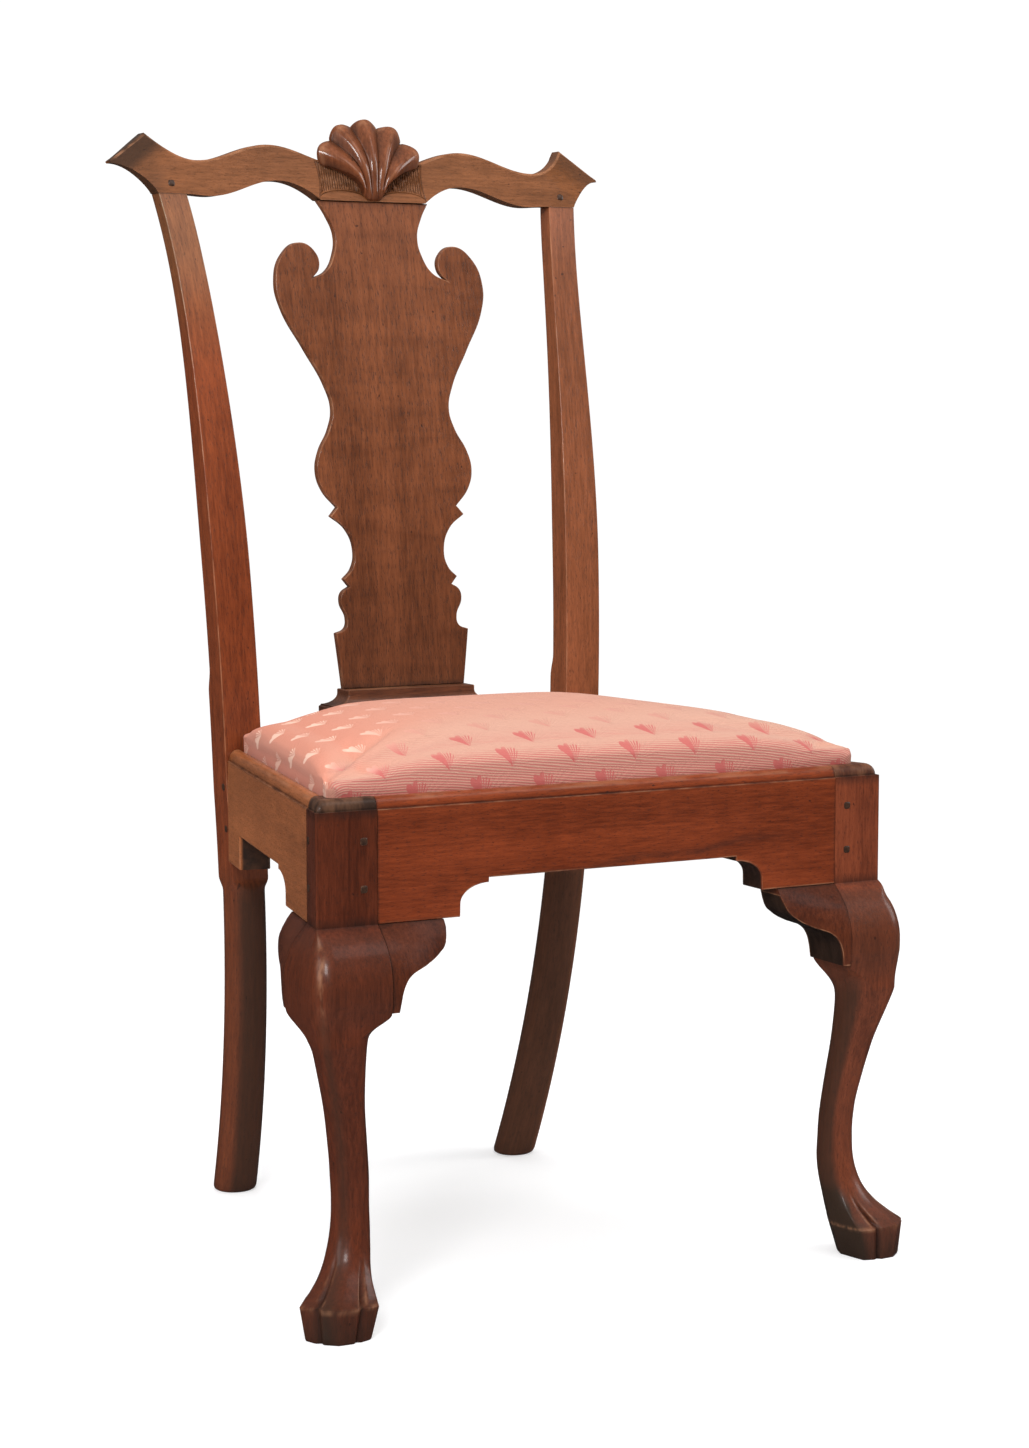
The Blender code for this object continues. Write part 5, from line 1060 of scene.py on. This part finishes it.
# Splat
SPLAT_WIDE, SPLAT_SEAT, SPLAT_INSET = 0.1078, 0.02425, 0.0023
SPLAT_FOOT, SPLAT_TOP = SHOE_TOP + GAP, BELLY_Z - GAP
SPLAT_OUTLINE = (
    (0.5334, 1.0, 0), (0.4545, 0.9680, 1), (0.3989, 0.9284, 1), (0.4267, 0.8887, 1), (0.5148, 0.8545, 1),
    (0.6494, 0.8391, 0), (0.5770, 0.8622, 1), (0.6030, 0.8931, 1), (0.7421, 0.9118, 1), (0.9137, 0.8865, 1),
    (1.0000, 0.8313, 1), (0.9647, 0.7762, 1), (0.7792, 0.6925, 1), (0.6141, 0.6197, 1), (0.5622, 0.5712, 1),
    (0.6076, 0.5293, 1), (0.7096, 0.4852, 1), (0.7468, 0.4455, 1), (0.7004, 0.4059, 1), (0.5751, 0.3706, 0),
    (0.6419, 0.3529, 0), (0.4963, 0.3243, 1), (0.4314, 0.2802, 1), (0.4638, 0.2449, 1), (0.5473, 0.2240, 0),
    (0.4935, 0.2086, 0), (0.5659, 0.1964, 1), (0.5826, 0.1766, 1), (0.5306, 0.1435, 1), (0.5473, 0.1237, 1),
    (0.6382, 0.1138, 0), (0.5826, 0.0, 0))
SPLAT_EASE = 0.0009
splat_height = SPLAT_TOP - SHOE_TOP
splat_base = rear_y + SPLAT_SEAT
splat_back = float(crest_face(0.0, SPLAT_TOP)) + SPLAT_INSET - splat_base - SPLAT_LEAN * splat_height


def splat_face(z):
    """Front of the splat: a straight lean and a square of the height, back to the crest."""
    rise = z - SHOE_TOP
    return splat_base + SPLAT_LEAN * rise + splat_back * rise * np.abs(rise) / splat_height**2


def splat_blank():
    """Flat outline with eased edges, as a mesh cut across at close heights."""
    data = bpy.data.curves.new("splat_outline", 'CURVE')
    data.dimensions = '2D'
    data.fill_mode = 'BOTH'
    data.resolution_u = 14
    data.extrude = SPLAT_THICK / 2 - SPLAT_EASE
    data.bevel_depth = SPLAT_EASE
    data.bevel_resolution = 2
    data.offset = -SPLAT_EASE
    spline = data.splines.new('BEZIER')
    whole = list(SPLAT_OUTLINE) + [(-w, t, kind) for w, t, kind in SPLAT_OUTLINE[::-1]]
    spline.bezier_points.add(len(whole) - 1)
    spline.use_cyclic_u = True
    for point, (w, t, smooth) in zip(spline.bezier_points, whole):
        point.co = (SPLAT_WIDE * w, SPLAT_FOOT + (SPLAT_TOP - SPLAT_FOOT) * t, 0)
        point.handle_left_type = point.handle_right_type = 'AUTO' if smooth else 'VECTOR'
    holder = bpy.data.objects.new("splat_outline", data)
    scene.collection.objects.link(holder)
    bpy.context.view_layer.update()
    mesh = bpy.data.meshes.new_from_object(holder)
    bpy.data.objects.remove(holder, do_unlink=True)
    bm = bmesh.new()
    bm.from_mesh(mesh)
    bpy.data.meshes.remove(mesh)
    bmesh.ops.remove_doubles(bm, verts=bm.verts, dist=0.00001)
    for level in np.linspace(SPLAT_FOOT, SPLAT_TOP, 92)[1:-1]:
        geom = bm.verts[:] + bm.edges[:] + bm.faces[:]
        bmesh.ops.bisect_plane(bm, geom=geom, dist=0.000005, plane_co=(0, level, 0), plane_no=(0, 1, 0))
    flat = np.array([v.co for v in bm.verts])
    bm.verts.index_update()
    faces = [[v.index for v in f.verts] for f in bm.faces]
    bm.free()
    return flat, faces


flat, faces = splat_blank()
across, level, through = flat[:, 0], flat[:, 1], flat[:, 2]
points = np.column_stack((across, splat_face(level) + SPLAT_THICK / 2 - through, level))
edge = (np.abs(through) < SPLAT_THICK / 2 - 0.00002) * (through > -SPLAT_THICK / 2 + 0.002)
near_joint = np.maximum(bell(SPLAT_TOP - level, 0.0014), bell(level - SPLAT_FOOT, 0.0030))
splat = make_piece("splat_shaped", points, faces, [SPLAT_WOOD],
                   grain=np.column_stack((across, through, level + GRAIN_START["splat"])),
                   wear=edge * (through > 0.0),
                   grime=np.maximum(0.7 * near_joint, 0.5 * edge * (through < 0.001)),
                   dusk=0.28 * ease((SPLAT_FOOT + 0.20 - level) / 0.20))
even_shading(splat)
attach(splat, "chair_frame")
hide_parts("splat")

# Shoe under the splat
SHOE_FLARE, SHOE_FILLET, SHOE_COVE, SHOE_RIM = 0.017, 0.002, 0.0095, 0.004
SHOE_HALF, SHOE_FRONT, SHOE_LEAN, SHOE_BEHIND, SHOE_EASE = 0.0655, 0.0005, 0.45, 0.0025, 0.0008
cove_top = SHOE_TOP - SHOE_RIM
cove_low = cove_top - SHOE_COVE
turn = np.linspace(0, math.pi / 2, 14)
grow = np.concatenate(([SHOE_FLARE + SHOE_FILLET] * 4, [SHOE_FLARE + SHOE_FILLET - 0.0004, SHOE_FLARE],
                       SHOE_FLARE * (1 - np.sin(turn)), [0.0, 0.0, -0.0006]))
level = np.concatenate((np.linspace(SEAT_TOP + GAP, cove_low - SHOE_FILLET, 4),
                        [cove_low - SHOE_FILLET + 0.0004, cove_low - SHOE_FILLET / 2],
                        cove_top - SHOE_COVE * np.cos(turn),
                        [SHOE_TOP - 0.002, SHOE_TOP - 0.0006, SHOE_TOP]))
x = SHOE_HALF + grow
front_y = rear_y - SHOE_FRONT + SHOE_LEAN * (SHOE_FLARE + SHOE_FILLET - grow)
back_y = np.full_like(grow, float(splat_face(SHOE_TOP)) + SPLAT_THICK + SHOE_BEHIND)
rings = ring_corners((-x, front_y, level), (x, front_y, level), (x, back_y, level), (-x, back_y, level))
rings, mask = soften(rings, [SHOE_EASE] * 4)
loft_piece("shoe_moulded", rings, SHOE_WOOD, ["shoe"], lengthwise(rings, GRAIN_START["shoe"]), mask,
           0.8 * bell(level - cove_low, 0.003)[:, None])

# Pegs: heights above the rails' base, then how far each stands from its joint
PEG_LEVELS = {"lower": 0.029, "upper": 0.0675}
FRONT_PEG_IN, SIDE_PEG_IN, REAR_PEG_IN, CREST_PEG_UP = 0.012, 0.0065, 0.008, 0.0095
PEG_RADIUS, PEG_LENGTH, CREST_PEG_LENGTH, CREST_PEG_TILT = 0.0031, 0.024, 0.0185, -0.297
PEG_INWARD = np.array((0.05, 0.35, 0.62, 0.86, 0.97, 1.0, 1.0, 1.0))
PEG_DOME = (-0.00075, -0.00073, -0.00066, -0.0005, -0.0002, 0.0003, 0.004)


def peg_piece(name, place, axis, length=PEG_LENGTH, outline=0.0):
    """Peg whittled nearly square: a rounded-square section along an axis, with a low domed end.

    Its edge is rubbed pale where outline is 1 and dark where it is 0.
    """
    turn = np.array(Vector(axis).normalized().to_track_quat('Z', 'Y').to_matrix())
    around = np.linspace(0, 2 * math.pi, 24, endpoint=False) + 0.3
    square = (np.abs(np.cos(around))**4 + np.abs(np.sin(around))**4)**-0.25
    along = np.array((*PEG_DOME, length))
    radius = PEG_RADIUS * PEG_INWARD[:, None] * square
    local = np.stack((radius * np.cos(around), radius * np.sin(around),
                      np.broadcast_to(along[:, None], radius.shape)), axis=-1)
    edge = bell(along - 0.0001, 0.0004)[:, None]
    loft_piece(name + "_head", local @ turn.T + np.array(place), PEG_FINISH, [name],
               local + np.array(place) * 7.0, outline * edge, (1 - outline) * 0.6 * edge)


for sign, side in SIDES.items():
    for level_name, above in PEG_LEVELS.items():
        label = "_peg_%s_%s" % (level_name, side)
        z = RAIL_BASE + above
        peg_piece("front_rail" + label, (sign * (JOINT_X[sign] + FRONT_PEG_IN), 0.0, z), (0, 1, 0),
                  outline=0.5 - 0.5 * sign)
        y = POST_SIDE - SIDE_PEG_IN
        peg_piece("side_rail" + label, (sign * side_x(y, 0.0), y, z), (-sign * SIDE_COS, -SIDE_SIN, 0))
        x = sign * (float(post_axis(z)[0]) + POST_WIDTH / 2)
        peg_piece("rear_post" + label, (x, POST_FRONT + REAR_PEG_IN, z), (-sign, 0, 0))
    z = CREST_JOINT + CREST_PEG_UP
    peg_piece("crest_peg_" + side, (sign * stile_x, float(crest_face(stile_x, z)), z),
              (0, 1, CREST_PEG_TILT), CREST_PEG_LENGTH)

# Drop-in seat
RIB_PITCH, RIB_TILT, RIB_WANDER = 0.0024, 0.11, 0.0016
FAN_STEP_U, FAN_STEP_V, FAN_SHIFT = 0.0585, 0.0275, 0.0245
FAN_FOOT, FAN_STRETCH, FAN_SKEW = 0.003, 1.28, 0.12
FAN_RADIUS, FAN_SCALLOP, FAN_SCALLOPS = 0.0146, 0.0027, 6.5
FAN_OPENING, FAN_RAYS, FAN_SHARE = 0.74, 38.0, 0.9

# Silk colours where the painted sheen is least and where it is most: shaded and lit copies of each
SILK_GROUND = (0.495, 0.282, 0.210, 1), (0.560, 0.225, 0.155, 1)
SILK_VALLEY = (0.430, 0.122, 0.102, 1), (0.480, 0.165, 0.118, 1)
SILK_MOTIF = (0.430, 0.100, 0.090, 1), (0.800, 0.520, 0.405, 1)
# Painted shade along the seat's border and down its sides
SILK_BORDER, BORDER_SHARE = (0.36, 0.070, 0.060, 1), 0.14


def build_silk():
    """Ribbed silk: fine ribs, a half-drop of small fans, and a painted sheen that changes the tone slowly.

    Ribs are a sine of the second coordinate, their valleys painted shade, and the third one says how
    strongly they show.
    A fan is a sector round its own foot, its edge scalloped and its inside drawn with rays;
    every second row is set half a step over.
    """
    tree, take, give = new_group("silk_weave", {"Cloth": "Vector", "Sheen": "Float", "Edge": "Float"},
                                 {"Color": "Color", "Roughness": "Float", "Height": "Float"})
    u, v, ribbed = axes(tree, take["Cloth"])
    wander = stretched_noise(tree, take["Cloth"], (26, 26, 26), 2.0, 0.5)
    line = v + (wander - 0.5) * RIB_WANDER + u * RIB_TILT
    rib = ((line * (2 * math.pi / RIB_PITCH)).step('SINE') + 1.0) * 0.5
    odd = (v / FAN_STEP_V).step('FLOOR').step('FLOORED_MODULO', 2.0) * 0.5
    near = ((u / FAN_STEP_U + odd).step('FRACT') - 0.5) * FAN_STEP_U
    up = (v.step('FLOORED_MODULO', FAN_STEP_V) - FAN_FOOT) / FAN_STRETCH
    skew = near + up * FAN_SKEW
    angle = skew.step('ARCTAN2', up)
    radius = (skew * skew + up * up).step('SQRT')
    reach = (angle * FAN_SCALLOPS).step('COSINE').step('ABSOLUTE') * FAN_SCALLOP + FAN_RADIUS
    fan = ramp_value(tree, reach - radius, -0.0004, 0.0006)
    fan = fan * ramp_value(tree, FAN_OPENING - angle.step('ABSOLUTE'), -0.02, 0.06)
    ray = ramp_value(tree, (angle * FAN_RAYS).step('SINE'), -0.3, 0.5)
    ray = ray.step('MAXIMUM', ramp_value(tree, angle, 0.06, -0.06))
    # Painted sheen: each colour is chosen between a shaded and a lit copy
    tone = take["Sheen"]
    ground, valley, motif = (blend_colours(tree, tone, *pair)
                             for pair in (SILK_GROUND, SILK_VALLEY, SILK_MOTIF))
    colour = blend_colours(tree, (1.0 - rib) * ribbed, ground, valley)
    drawn = fan * ray * tone.step('MAXIMUM', (ribbed * 2.4).step('ADD', 0.15, clamp=True))
    colour = blend_colours(tree, drawn * FAN_SHARE, colour, motif)
    fleck = stretched_noise(tree, take["Cloth"], (700, 2400, 700), 2.0, 0.5)
    fleck = ramp_value(tree, fleck, 0.3, 0.7, 0.92, 1.06)
    shade = put(tree, 'ShaderNodeCombineColor', {0: fleck, 1: fleck, 2: fleck}).outputs[0]
    colour = blend_colours(tree, 1.0, colour, shade, 'MULTIPLY')
    feed(tree, give, {"Color": blend_colours(tree, take["Edge"] * BORDER_SHARE, colour, SILK_BORDER),
                      "Roughness": 0.58 - fan * 0.12,
                      "Height": rib * (1.0 - fan) + ray * 0.8})
    return tree


def silk_material():
    """Rose silk on the cloth's own coordinates."""
    material, tree, shader = new_material("rose_silk_rep")
    links = {"Cloth": attribute(tree, "cloth", "Vector"), "Sheen": attribute(tree, "sheen"),
             "Edge": attribute(tree, "edge")}
    weave = put(tree, 'ShaderNodeGroup', links, node_tree=build_silk()).outputs
    feed(tree, shader, {"Base Color": weave["Color"], "Roughness": weave["Roughness"],
                        "Normal": bump_normal(tree, weave["Height"], 0.35, 0.0005),
                        "Sheen Weight": 0.06, "Sheen Roughness": 0.4, "Specular IOR Level": 0.2})
    return material


def woven_material(name, light, dark, pitch):
    """Plain weave: two crossed sines on the piece's own coordinates, broken by noise."""
    material, tree, shader = new_material(name)
    place = object_place(tree)
    waves = [(axis * (2 * math.pi / pitch)).step('SINE') for axis in axes(tree, place)[:2]]
    weave = waves[0] * waves[1]
    noise = stretched_noise(tree, place, (240, 240, 240), 3.0, 0.6)
    mix = (weave * 0.35).step('ADD', noise, clamp=True)
    feed(tree, shader, {"Base Color": blend_colours(tree, mix, (*dark, 1), (*light, 1)), "Roughness": 0.9,
                        "Normal": bump_normal(tree, weave, 0.6, 0.0006)})
    return material


SILK = silk_material()
LINEN = woven_material("linen_lining", (0.46, 0.38, 0.26), (0.25, 0.19, 0.12), 0.0016)
JUTE = woven_material("jute_webbing", (0.50, 0.38, 0.22), (0.24, 0.17, 0.09), 0.0032)
seat_front, seat_back = SEAT_EDGE, POST_FRONT - 0.001


def seat_sheet(a, b, inset, draw):
    """Seat's plan over two parameters from -1 to 1: tapered, with drawn-in sides and round corners."""
    y0, y1 = seat_front + inset, seat_back - inset
    y = (y0 + y1) / 2 + b * (y1 - y0) / 2
    wide = CORNER_X - y * math.tan(SIDE_ANGLE) - (SEAT_EDGE + inset) / SIDE_COS
    x = a * wide
    gap_x, gap_y = wide - np.abs(x), (y1 - y0) / 2 - np.abs(y - (y0 + y1) / 2)
    across = np.clip(1 - gap_x / COVER_ROUND, 0, 1)
    down = np.clip(1 - gap_y / COVER_ROUND, 0, 1)
    x = x - np.sign(a) * COVER_ROUND * across * (1 - np.sqrt(1 - down**2 / 2))
    y = y - np.sign(b) * COVER_ROUND * down * (1 - np.sqrt(1 - across**2 / 2))
    x = x - np.sign(a) * draw * np.abs(a)**3 * (1 - b**2)
    y = y - np.sign(b) * draw * np.abs(b)**3 * (1 - a**2)
    return x, y


def border_share(a):
    """How far a place lies into the rounded border: one at the edge, nothing past the border's width."""
    return np.clip(1 - (1 - np.abs(a)) * SEAT_HALF / CUSHION_ROUND, 0, 1)


def crown_height(a, b):
    """Seat's crown as a share of its rise: a quarter-round border and a low dome on rounded squares."""
    reach = np.clip((np.abs(a)**6 + np.abs(b)**6)**(1 / 6), 0, 1)
    border = np.sqrt(np.clip(1 - np.sqrt(border_share(a)**4 + border_share(b)**4), 0, 1))
    return CUSHION_BORDER * border + (1 - CUSHION_BORDER) * (1 - reach**3)**0.7


def spread(count):
    """Parameters from -1 to 1, closer together near the edges."""
    t = np.linspace(-1, 1, count)
    return 0.45 * t + 0.55 * np.sin(t * math.pi / 2)


def cloth_lengths(x, y, z):
    """Lengths along the cloth both ways from the middle of the sheet."""
    p = np.stack((x, y, z), axis=-1)
    rows, columns = x.shape
    along_x = np.linalg.norm(np.diff(p, axis=1), axis=2)
    along_y = np.linalg.norm(np.diff(p, axis=0), axis=2)
    u = np.concatenate((np.zeros((rows, 1)), np.cumsum(along_x, axis=1)), axis=1)
    v = np.concatenate((np.zeros((1, columns)), np.cumsum(along_y, axis=0)), axis=0)
    return u - u[:, columns // 2:columns // 2 + 1], v - v[rows // 2:rows // 2 + 1]


def swell(ob, cap):
    """Cloth run with a little pressure, edges held, movement capped; the result is kept as the mesh."""
    rest = np.zeros(len(ob.data.vertices) * 3)
    ob.data.vertices.foreach_get("co", rest)
    cloth = ob.modifiers.new("swell", 'CLOTH')
    settings = cloth.settings
    settings.quality = 5
    settings.mass = 0.3
    settings.tension_stiffness = 18.0
    settings.compression_stiffness = 18.0
    settings.shear_stiffness = 6.0
    settings.bending_stiffness = 0.6
    settings.use_pressure = True
    settings.uniform_pressure_force = 4.0
    settings.vertex_group_mass = "held"
    settings.effector_weights.gravity = 0.0
    cloth.collision_settings.use_self_collision = False
    cloth.point_cache.frame_start = 1
    cloth.point_cache.frame_end = 20
    for number in range(1, 21):
        scene.frame_set(number)
    graph = bpy.context.evaluated_depsgraph_get()
    moved = np.zeros(len(rest))
    ob.evaluated_get(graph).data.vertices.foreach_get("co", moved)
    ob.modifiers.remove(cloth)
    scene.frame_set(1)
    away = (moved - rest).reshape(-1, 3)
    far = np.linalg.norm(away, axis=1, keepdims=True)
    away *= np.minimum(1.0, cap / np.maximum(far, 1e-9))
    ob.data.vertices.foreach_set("co", rest + away.ravel())
    ob.data.update()


SKIRT_DROPS = np.cumsum([0.006, 0.007, 0.007, 0.002, 0.02, 0.001, 0.02, 0.014])
PAD_INSET, SWELL_CAP = 0.006, 0.003


def cushion():
    """Padded seat: a crowned sheet, its sides down to the rabbet and turned under, and a lining.

    The border bulges by into times one less into, where into runs across it; the ribs' painted
    shading shows on places that face forward, the painted sheen grows on those that face left
    and back, and painted shade darkens the border.
    """
    rows, columns = 90, 104
    b, a = np.meshgrid(spread(rows), spread(columns), indexing='ij')
    x, y = seat_sheet(a, b, 0.0, CUSHION_DRAW)
    into = border_share(a)
    x = x + 4 * CUSHION_BULGE * np.sign(a) * into * (1 - into) * (1 - b**20)
    into = border_share(b) * (b < 0)
    y = y - 4 * CUSHION_FRONT * into * (1 - into) * (1 - a**20)
    lift = crown_height(a, b)
    z = SEAT_TOP + CUSHION_EDGE + CUSHION_RISE * lift
    u, v = cloth_lengths(x, y, z)
    top = np.stack((x, y, z), axis=-1)
    loop = rim_loop(rows, columns)
    base = LEDGE + GAP
    skirt = ((0.0003, SEAT_TOP + 0.002), (0.0004, SEAT_TOP - 0.005), (0.0004, base + 0.0012),
             (0.0012, base), (COVER_TURN, base), (COVER_TURN, base + COVER_THICK),
             (0.0014, base + COVER_THICK), (0.0018, PAD_BASE - 0.0042))
    rings = [top.reshape(-1, 3)]
    for inset, level in skirt:
        sx, sy = seat_sheet(a, b, inset, 0.0)
        rings.append(np.stack((sx, sy, np.full_like(sx, level)), axis=-1).reshape(-1, 3)[loop])
    sx, sy = seat_sheet(a, b, PAD_INSET, 0.0)
    rings.append(np.stack((sx, sy, np.full_like(sx, PAD_BASE)), axis=-1).reshape(-1, 3))
    points = np.concatenate(rings)
    starts = rows * columns + len(loop) * np.arange(len(skirt))
    loops = [loop] + [start + np.arange(len(loop)) for start in starts] + [starts[-1] + len(loop) + loop]
    sheet = np.array(grid_faces(rows, columns, False))
    bands = [np.stack((p, q, np.roll(q, -1), np.roll(p, -1)), axis=-1)
             for p, q in zip(loops[:-1], loops[1:])]
    faces = np.concatenate([sheet] + bands + [sheet[:, ::-1] + starts[-1] + len(loop)])
    facing = np.cross(np.gradient(top, axis=1), np.gradient(top, axis=0))
    facing /= np.linalg.norm(facing, axis=2, keepdims=True)
    # How strongly the ribs' painted shading shows: on places that face forward
    ribbed = np.clip(-2.6 * facing[..., 1] - 0.45, 0.08, 1)
    mark = np.stack((u, v + FAN_SHIFT, ribbed), axis=-1).reshape(-1, 3)
    outward = np.stack([np.sign(e) * (np.abs(e) > 0.999) for e in (a, b, 0 * a)], -1).reshape(-1, 3)[loop]
    marks = [mark] + [mark[loop] + outward * drop for drop in SKIRT_DROPS] + [mark]
    # Painted sheen on places that face left and back
    light = ease(0.45 - 1.5 * facing[..., 0] + 1.3 * facing[..., 1]).ravel()
    sheen = [light] + [light[loop]] * len(skirt) + [light]
    # Painted shade near the border and, stronger, down the sides
    border = np.exp(-(lift / 0.15)**1.5).ravel()
    edge = [border] + [1.6 * border[loop]] * len(skirt) + [border]
    ob = make_piece("seat_cushion", points, faces.tolist(), [SILK, LINEN], 180.0,
                    cloth=np.concatenate(marks), sheen=np.concatenate(sheen), edge=np.concatenate(edge))
    lining = np.zeros(len(faces), np.int32)
    lining[-len(sheet):] = 1
    ob.data.polygons.foreach_set("material_index", lining)
    held = ob.vertex_groups.new(name="held")
    held.add(list(range(rows * columns, len(points))) + loop.tolist(), 1.0, 'REPLACE')
    swell(ob, SWELL_CAP)
    ob.vertex_groups.remove(held)
    mod = ob.modifiers.new("fine_surface", 'SUBSURF')
    mod.levels = mod.render_levels = 1
    return ob


seat = cushion()
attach(seat, "slip_seat")
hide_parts("seat_cover", "seat_stuffing")

# Webbing, woven over and under across the seat frame
frame_in = COVER_THICK + GAP
web_level = LEDGE + COVER_THICK + SEAT_FRAME_THICK + 3 * GAP + WEB_WAVE + WEB_HALF_THICK
web_front, web_back = seat_front + frame_in + FRAME_MARGIN, seat_back - frame_in - FRAME_MARGIN
web_y = np.linspace(seat_front + frame_in + WEB_MARGIN, seat_back - frame_in - WEB_MARGIN, 7)[1::2]
rear_half = side_x(seat_back - frame_in, SEAT_EDGE + frame_in)
web_x = np.linspace(-rear_half + FRAME_MARGIN, rear_half - FRAME_MARGIN, 7)[1::2]


def webbing_piece(name, path, across, phase, crossings, swap):
    """Flat strip along a path: its height a cosine between the crossings, level near its ends."""
    wave = np.cos(math.pi * (path - crossings[0]) / (crossings[1] - crossings[0]) + phase)
    wave = wave * ease((path - path[0]) / WEB_LEVEL_END) * ease((path[-1] - path) / WEB_LEVEL_END)
    rings = np.zeros((len(path), 4, 3))
    rings[..., 0] = path[:, None]
    rings[..., 1] = across + WEB_HALF_WIDTH * np.array((-1, 1, 1, -1))
    rings[..., 2] = (web_level + WEB_WAVE * wave)[:, None] + WEB_HALF_THICK * np.array((-1, -1, 1, 1))
    rings = soften(rings, [WEB_EASE] * 4, 3)[0]
    if swap:
        rings = rings[..., (1, 0, 2)]
    loft_piece(name + "_woven", rings, JUTE, [name], rings, 0.0, 0.0, body="slip_seat")


for k in range(3):
    reach = side_x(web_y[k] + WEB_HALF_WIDTH, SEAT_EDGE + frame_in + FRAME_MARGIN)
    webbing_piece("webbing_cross_%d" % (k + 1), np.linspace(-reach, reach, 90), web_y[k],
                  math.pi * k, web_x, False)
    webbing_piece("webbing_long_%d" % (k + 1), np.linspace(web_front, web_back, 80), web_x[k],
                  math.pi * (k + 1), web_y, True)

# Seat frame and glue blocks keep their solids
ACROSS = sawn_wood("poplar_across", (0.52, 0.36, 0.19), (0.30, 0.19, 0.09), (0.0, math.pi / 2, 0.0))
ALONG = sawn_wood("poplar_along", (0.50, 0.34, 0.18), (0.29, 0.18, 0.09), (math.pi / 2, 0.0, 0.0))
UPRIGHT = sawn_wood("pine_block", (0.55, 0.38, 0.20), (0.33, 0.20, 0.10), (0.0, 0.0, 0.0))
for node, material in (("seat_frame_front", ACROSS), ("seat_frame_back", ACROSS),
                       ("seat_frame_left", ALONG), ("seat_frame_right", ALONG),
                       ("glue_block_left", UPRIGHT), ("glue_block_right", UPRIGHT)):
    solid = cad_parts[node].data
    solid.materials.clear()
    solid.materials.append(material)

# Camera at the photograph's viewing angle; its focal length and height are in pixels
PHOTO_FOCAL, PHOTO_HEIGHT, SENSOR = 3003.0, 1448.0, 36.0
CAMERA_DOWN, CAMERA_TURN = math.radians(6.036), math.radians(28.144)
camera = bpy.data.objects.new("camera", bpy.data.cameras.new("camera"))
scene.collection.objects.link(camera)
camera.data.sensor_fit = 'VERTICAL'
camera.data.sensor_height = SENSOR
camera.data.lens = PHOTO_FOCAL * SENSOR / PHOTO_HEIGHT
camera.location = (-1.2361, -2.1391 + SHIFT, 0.7407)
camera.rotation_euler = (math.pi / 2 - CAMERA_DOWN, 0.0, -CAMERA_TURN)
scene.camera = camera

# Floor: a pale disc that fades into the background
FLOOR_RADIUS, FADE_FROM, FADE_TO = 40, 1.1, 2.4
floor_mesh = bpy.data.meshes.new("floor")
angle = np.linspace(0, 2 * math.pi, 64, endpoint=False)
disc = np.column_stack((FLOOR_RADIUS * np.cos(angle), FLOOR_RADIUS * np.sin(angle), np.zeros(len(angle))))
floor_mesh.from_pydata(disc.tolist(), [], [list(range(len(angle)))])
floor = bpy.data.objects.new("floor", floor_mesh)
scene.collection.objects.link(floor)
pale, tree, shader = new_material("pale_floor")
reach = put(tree, 'ShaderNodeVectorMath', {0: object_place(tree)}, operation='LENGTH').outputs["Value"]
feed(tree, shader, {"Base Color": (0.62, 0.62, 0.63, 1), "Emission Color": (1.0, 1.0, 1.0, 1),
                    "Emission Strength": 0.50, "Roughness": 0.6, "Specular IOR Level": 0.15,
                    "Alpha": ramp_value(tree, reach, FADE_FROM, FADE_TO, 1.0, 0.0)})
floor_mesh.materials.append(pale)
floor.visible_glossy = False


def soft_box(name, place, size, power, aim=(0.0, 0.0, 0.5), mirrored=True):
    """Rectangular soft light at a place, turned to a point, and seen in polished surfaces or not."""
    light = bpy.data.lights.new(name, 'AREA')
    light.shape = 'RECTANGLE'
    light.size, light.size_y = size
    light.energy = power
    ob = bpy.data.objects.new(name, light)
    ob.location = place
    ob.rotation_euler = (Vector(aim) - Vector(place)).to_track_quat('-Z', 'Y').to_euler()
    ob.visible_glossy = mirrored
    scene.collection.objects.link(ob)


soft_box("key", (-2.0, -2.5, 2.3), (0.9, 0.9), 77.0)
soft_box("overhead", (0.1, -0.1, 3.0), (2.8, 2.4), 78.0, mirrored=False)
soft_box("upper", (1.05, -1.5, 2.9), (1.3, 1.3), 12.0, aim=(0.0, 0.4, 0.9))
soft_box("fill", (3.0, -1.0, 1.7), (1.4, 1.6), 46.0)
soft_box("left", (-2.6, -0.6, 1.5), (1.0, 1.8), 24.0)

# World: white to the camera; to everything else grey above and dark below
SEEN_WHITE, DOME_DARK, DOME_GREY = 1.05, 0.04, 0.26
world = bpy.data.worlds.new("studio")
scene.world = world
world.use_nodes = True
tree = world.node_tree
way = axes(tree, put(tree, 'ShaderNodeTexCoord').outputs["Generated"])
dome = ramp_value(tree, way[2], -0.1, 0.6, DOME_DARK, DOME_GREY)
seen = Signal(tree, put(tree, 'ShaderNodeLightPath').outputs["Is Camera Ray"])
feed(tree, tree.nodes["Background"], {"Color": (1.0, 1.0, 1.0, 1.0),
                                      "Strength": dome.step('MAXIMUM', seen * SEEN_WHITE)})
scene.view_settings.view_transform = 'Standard'
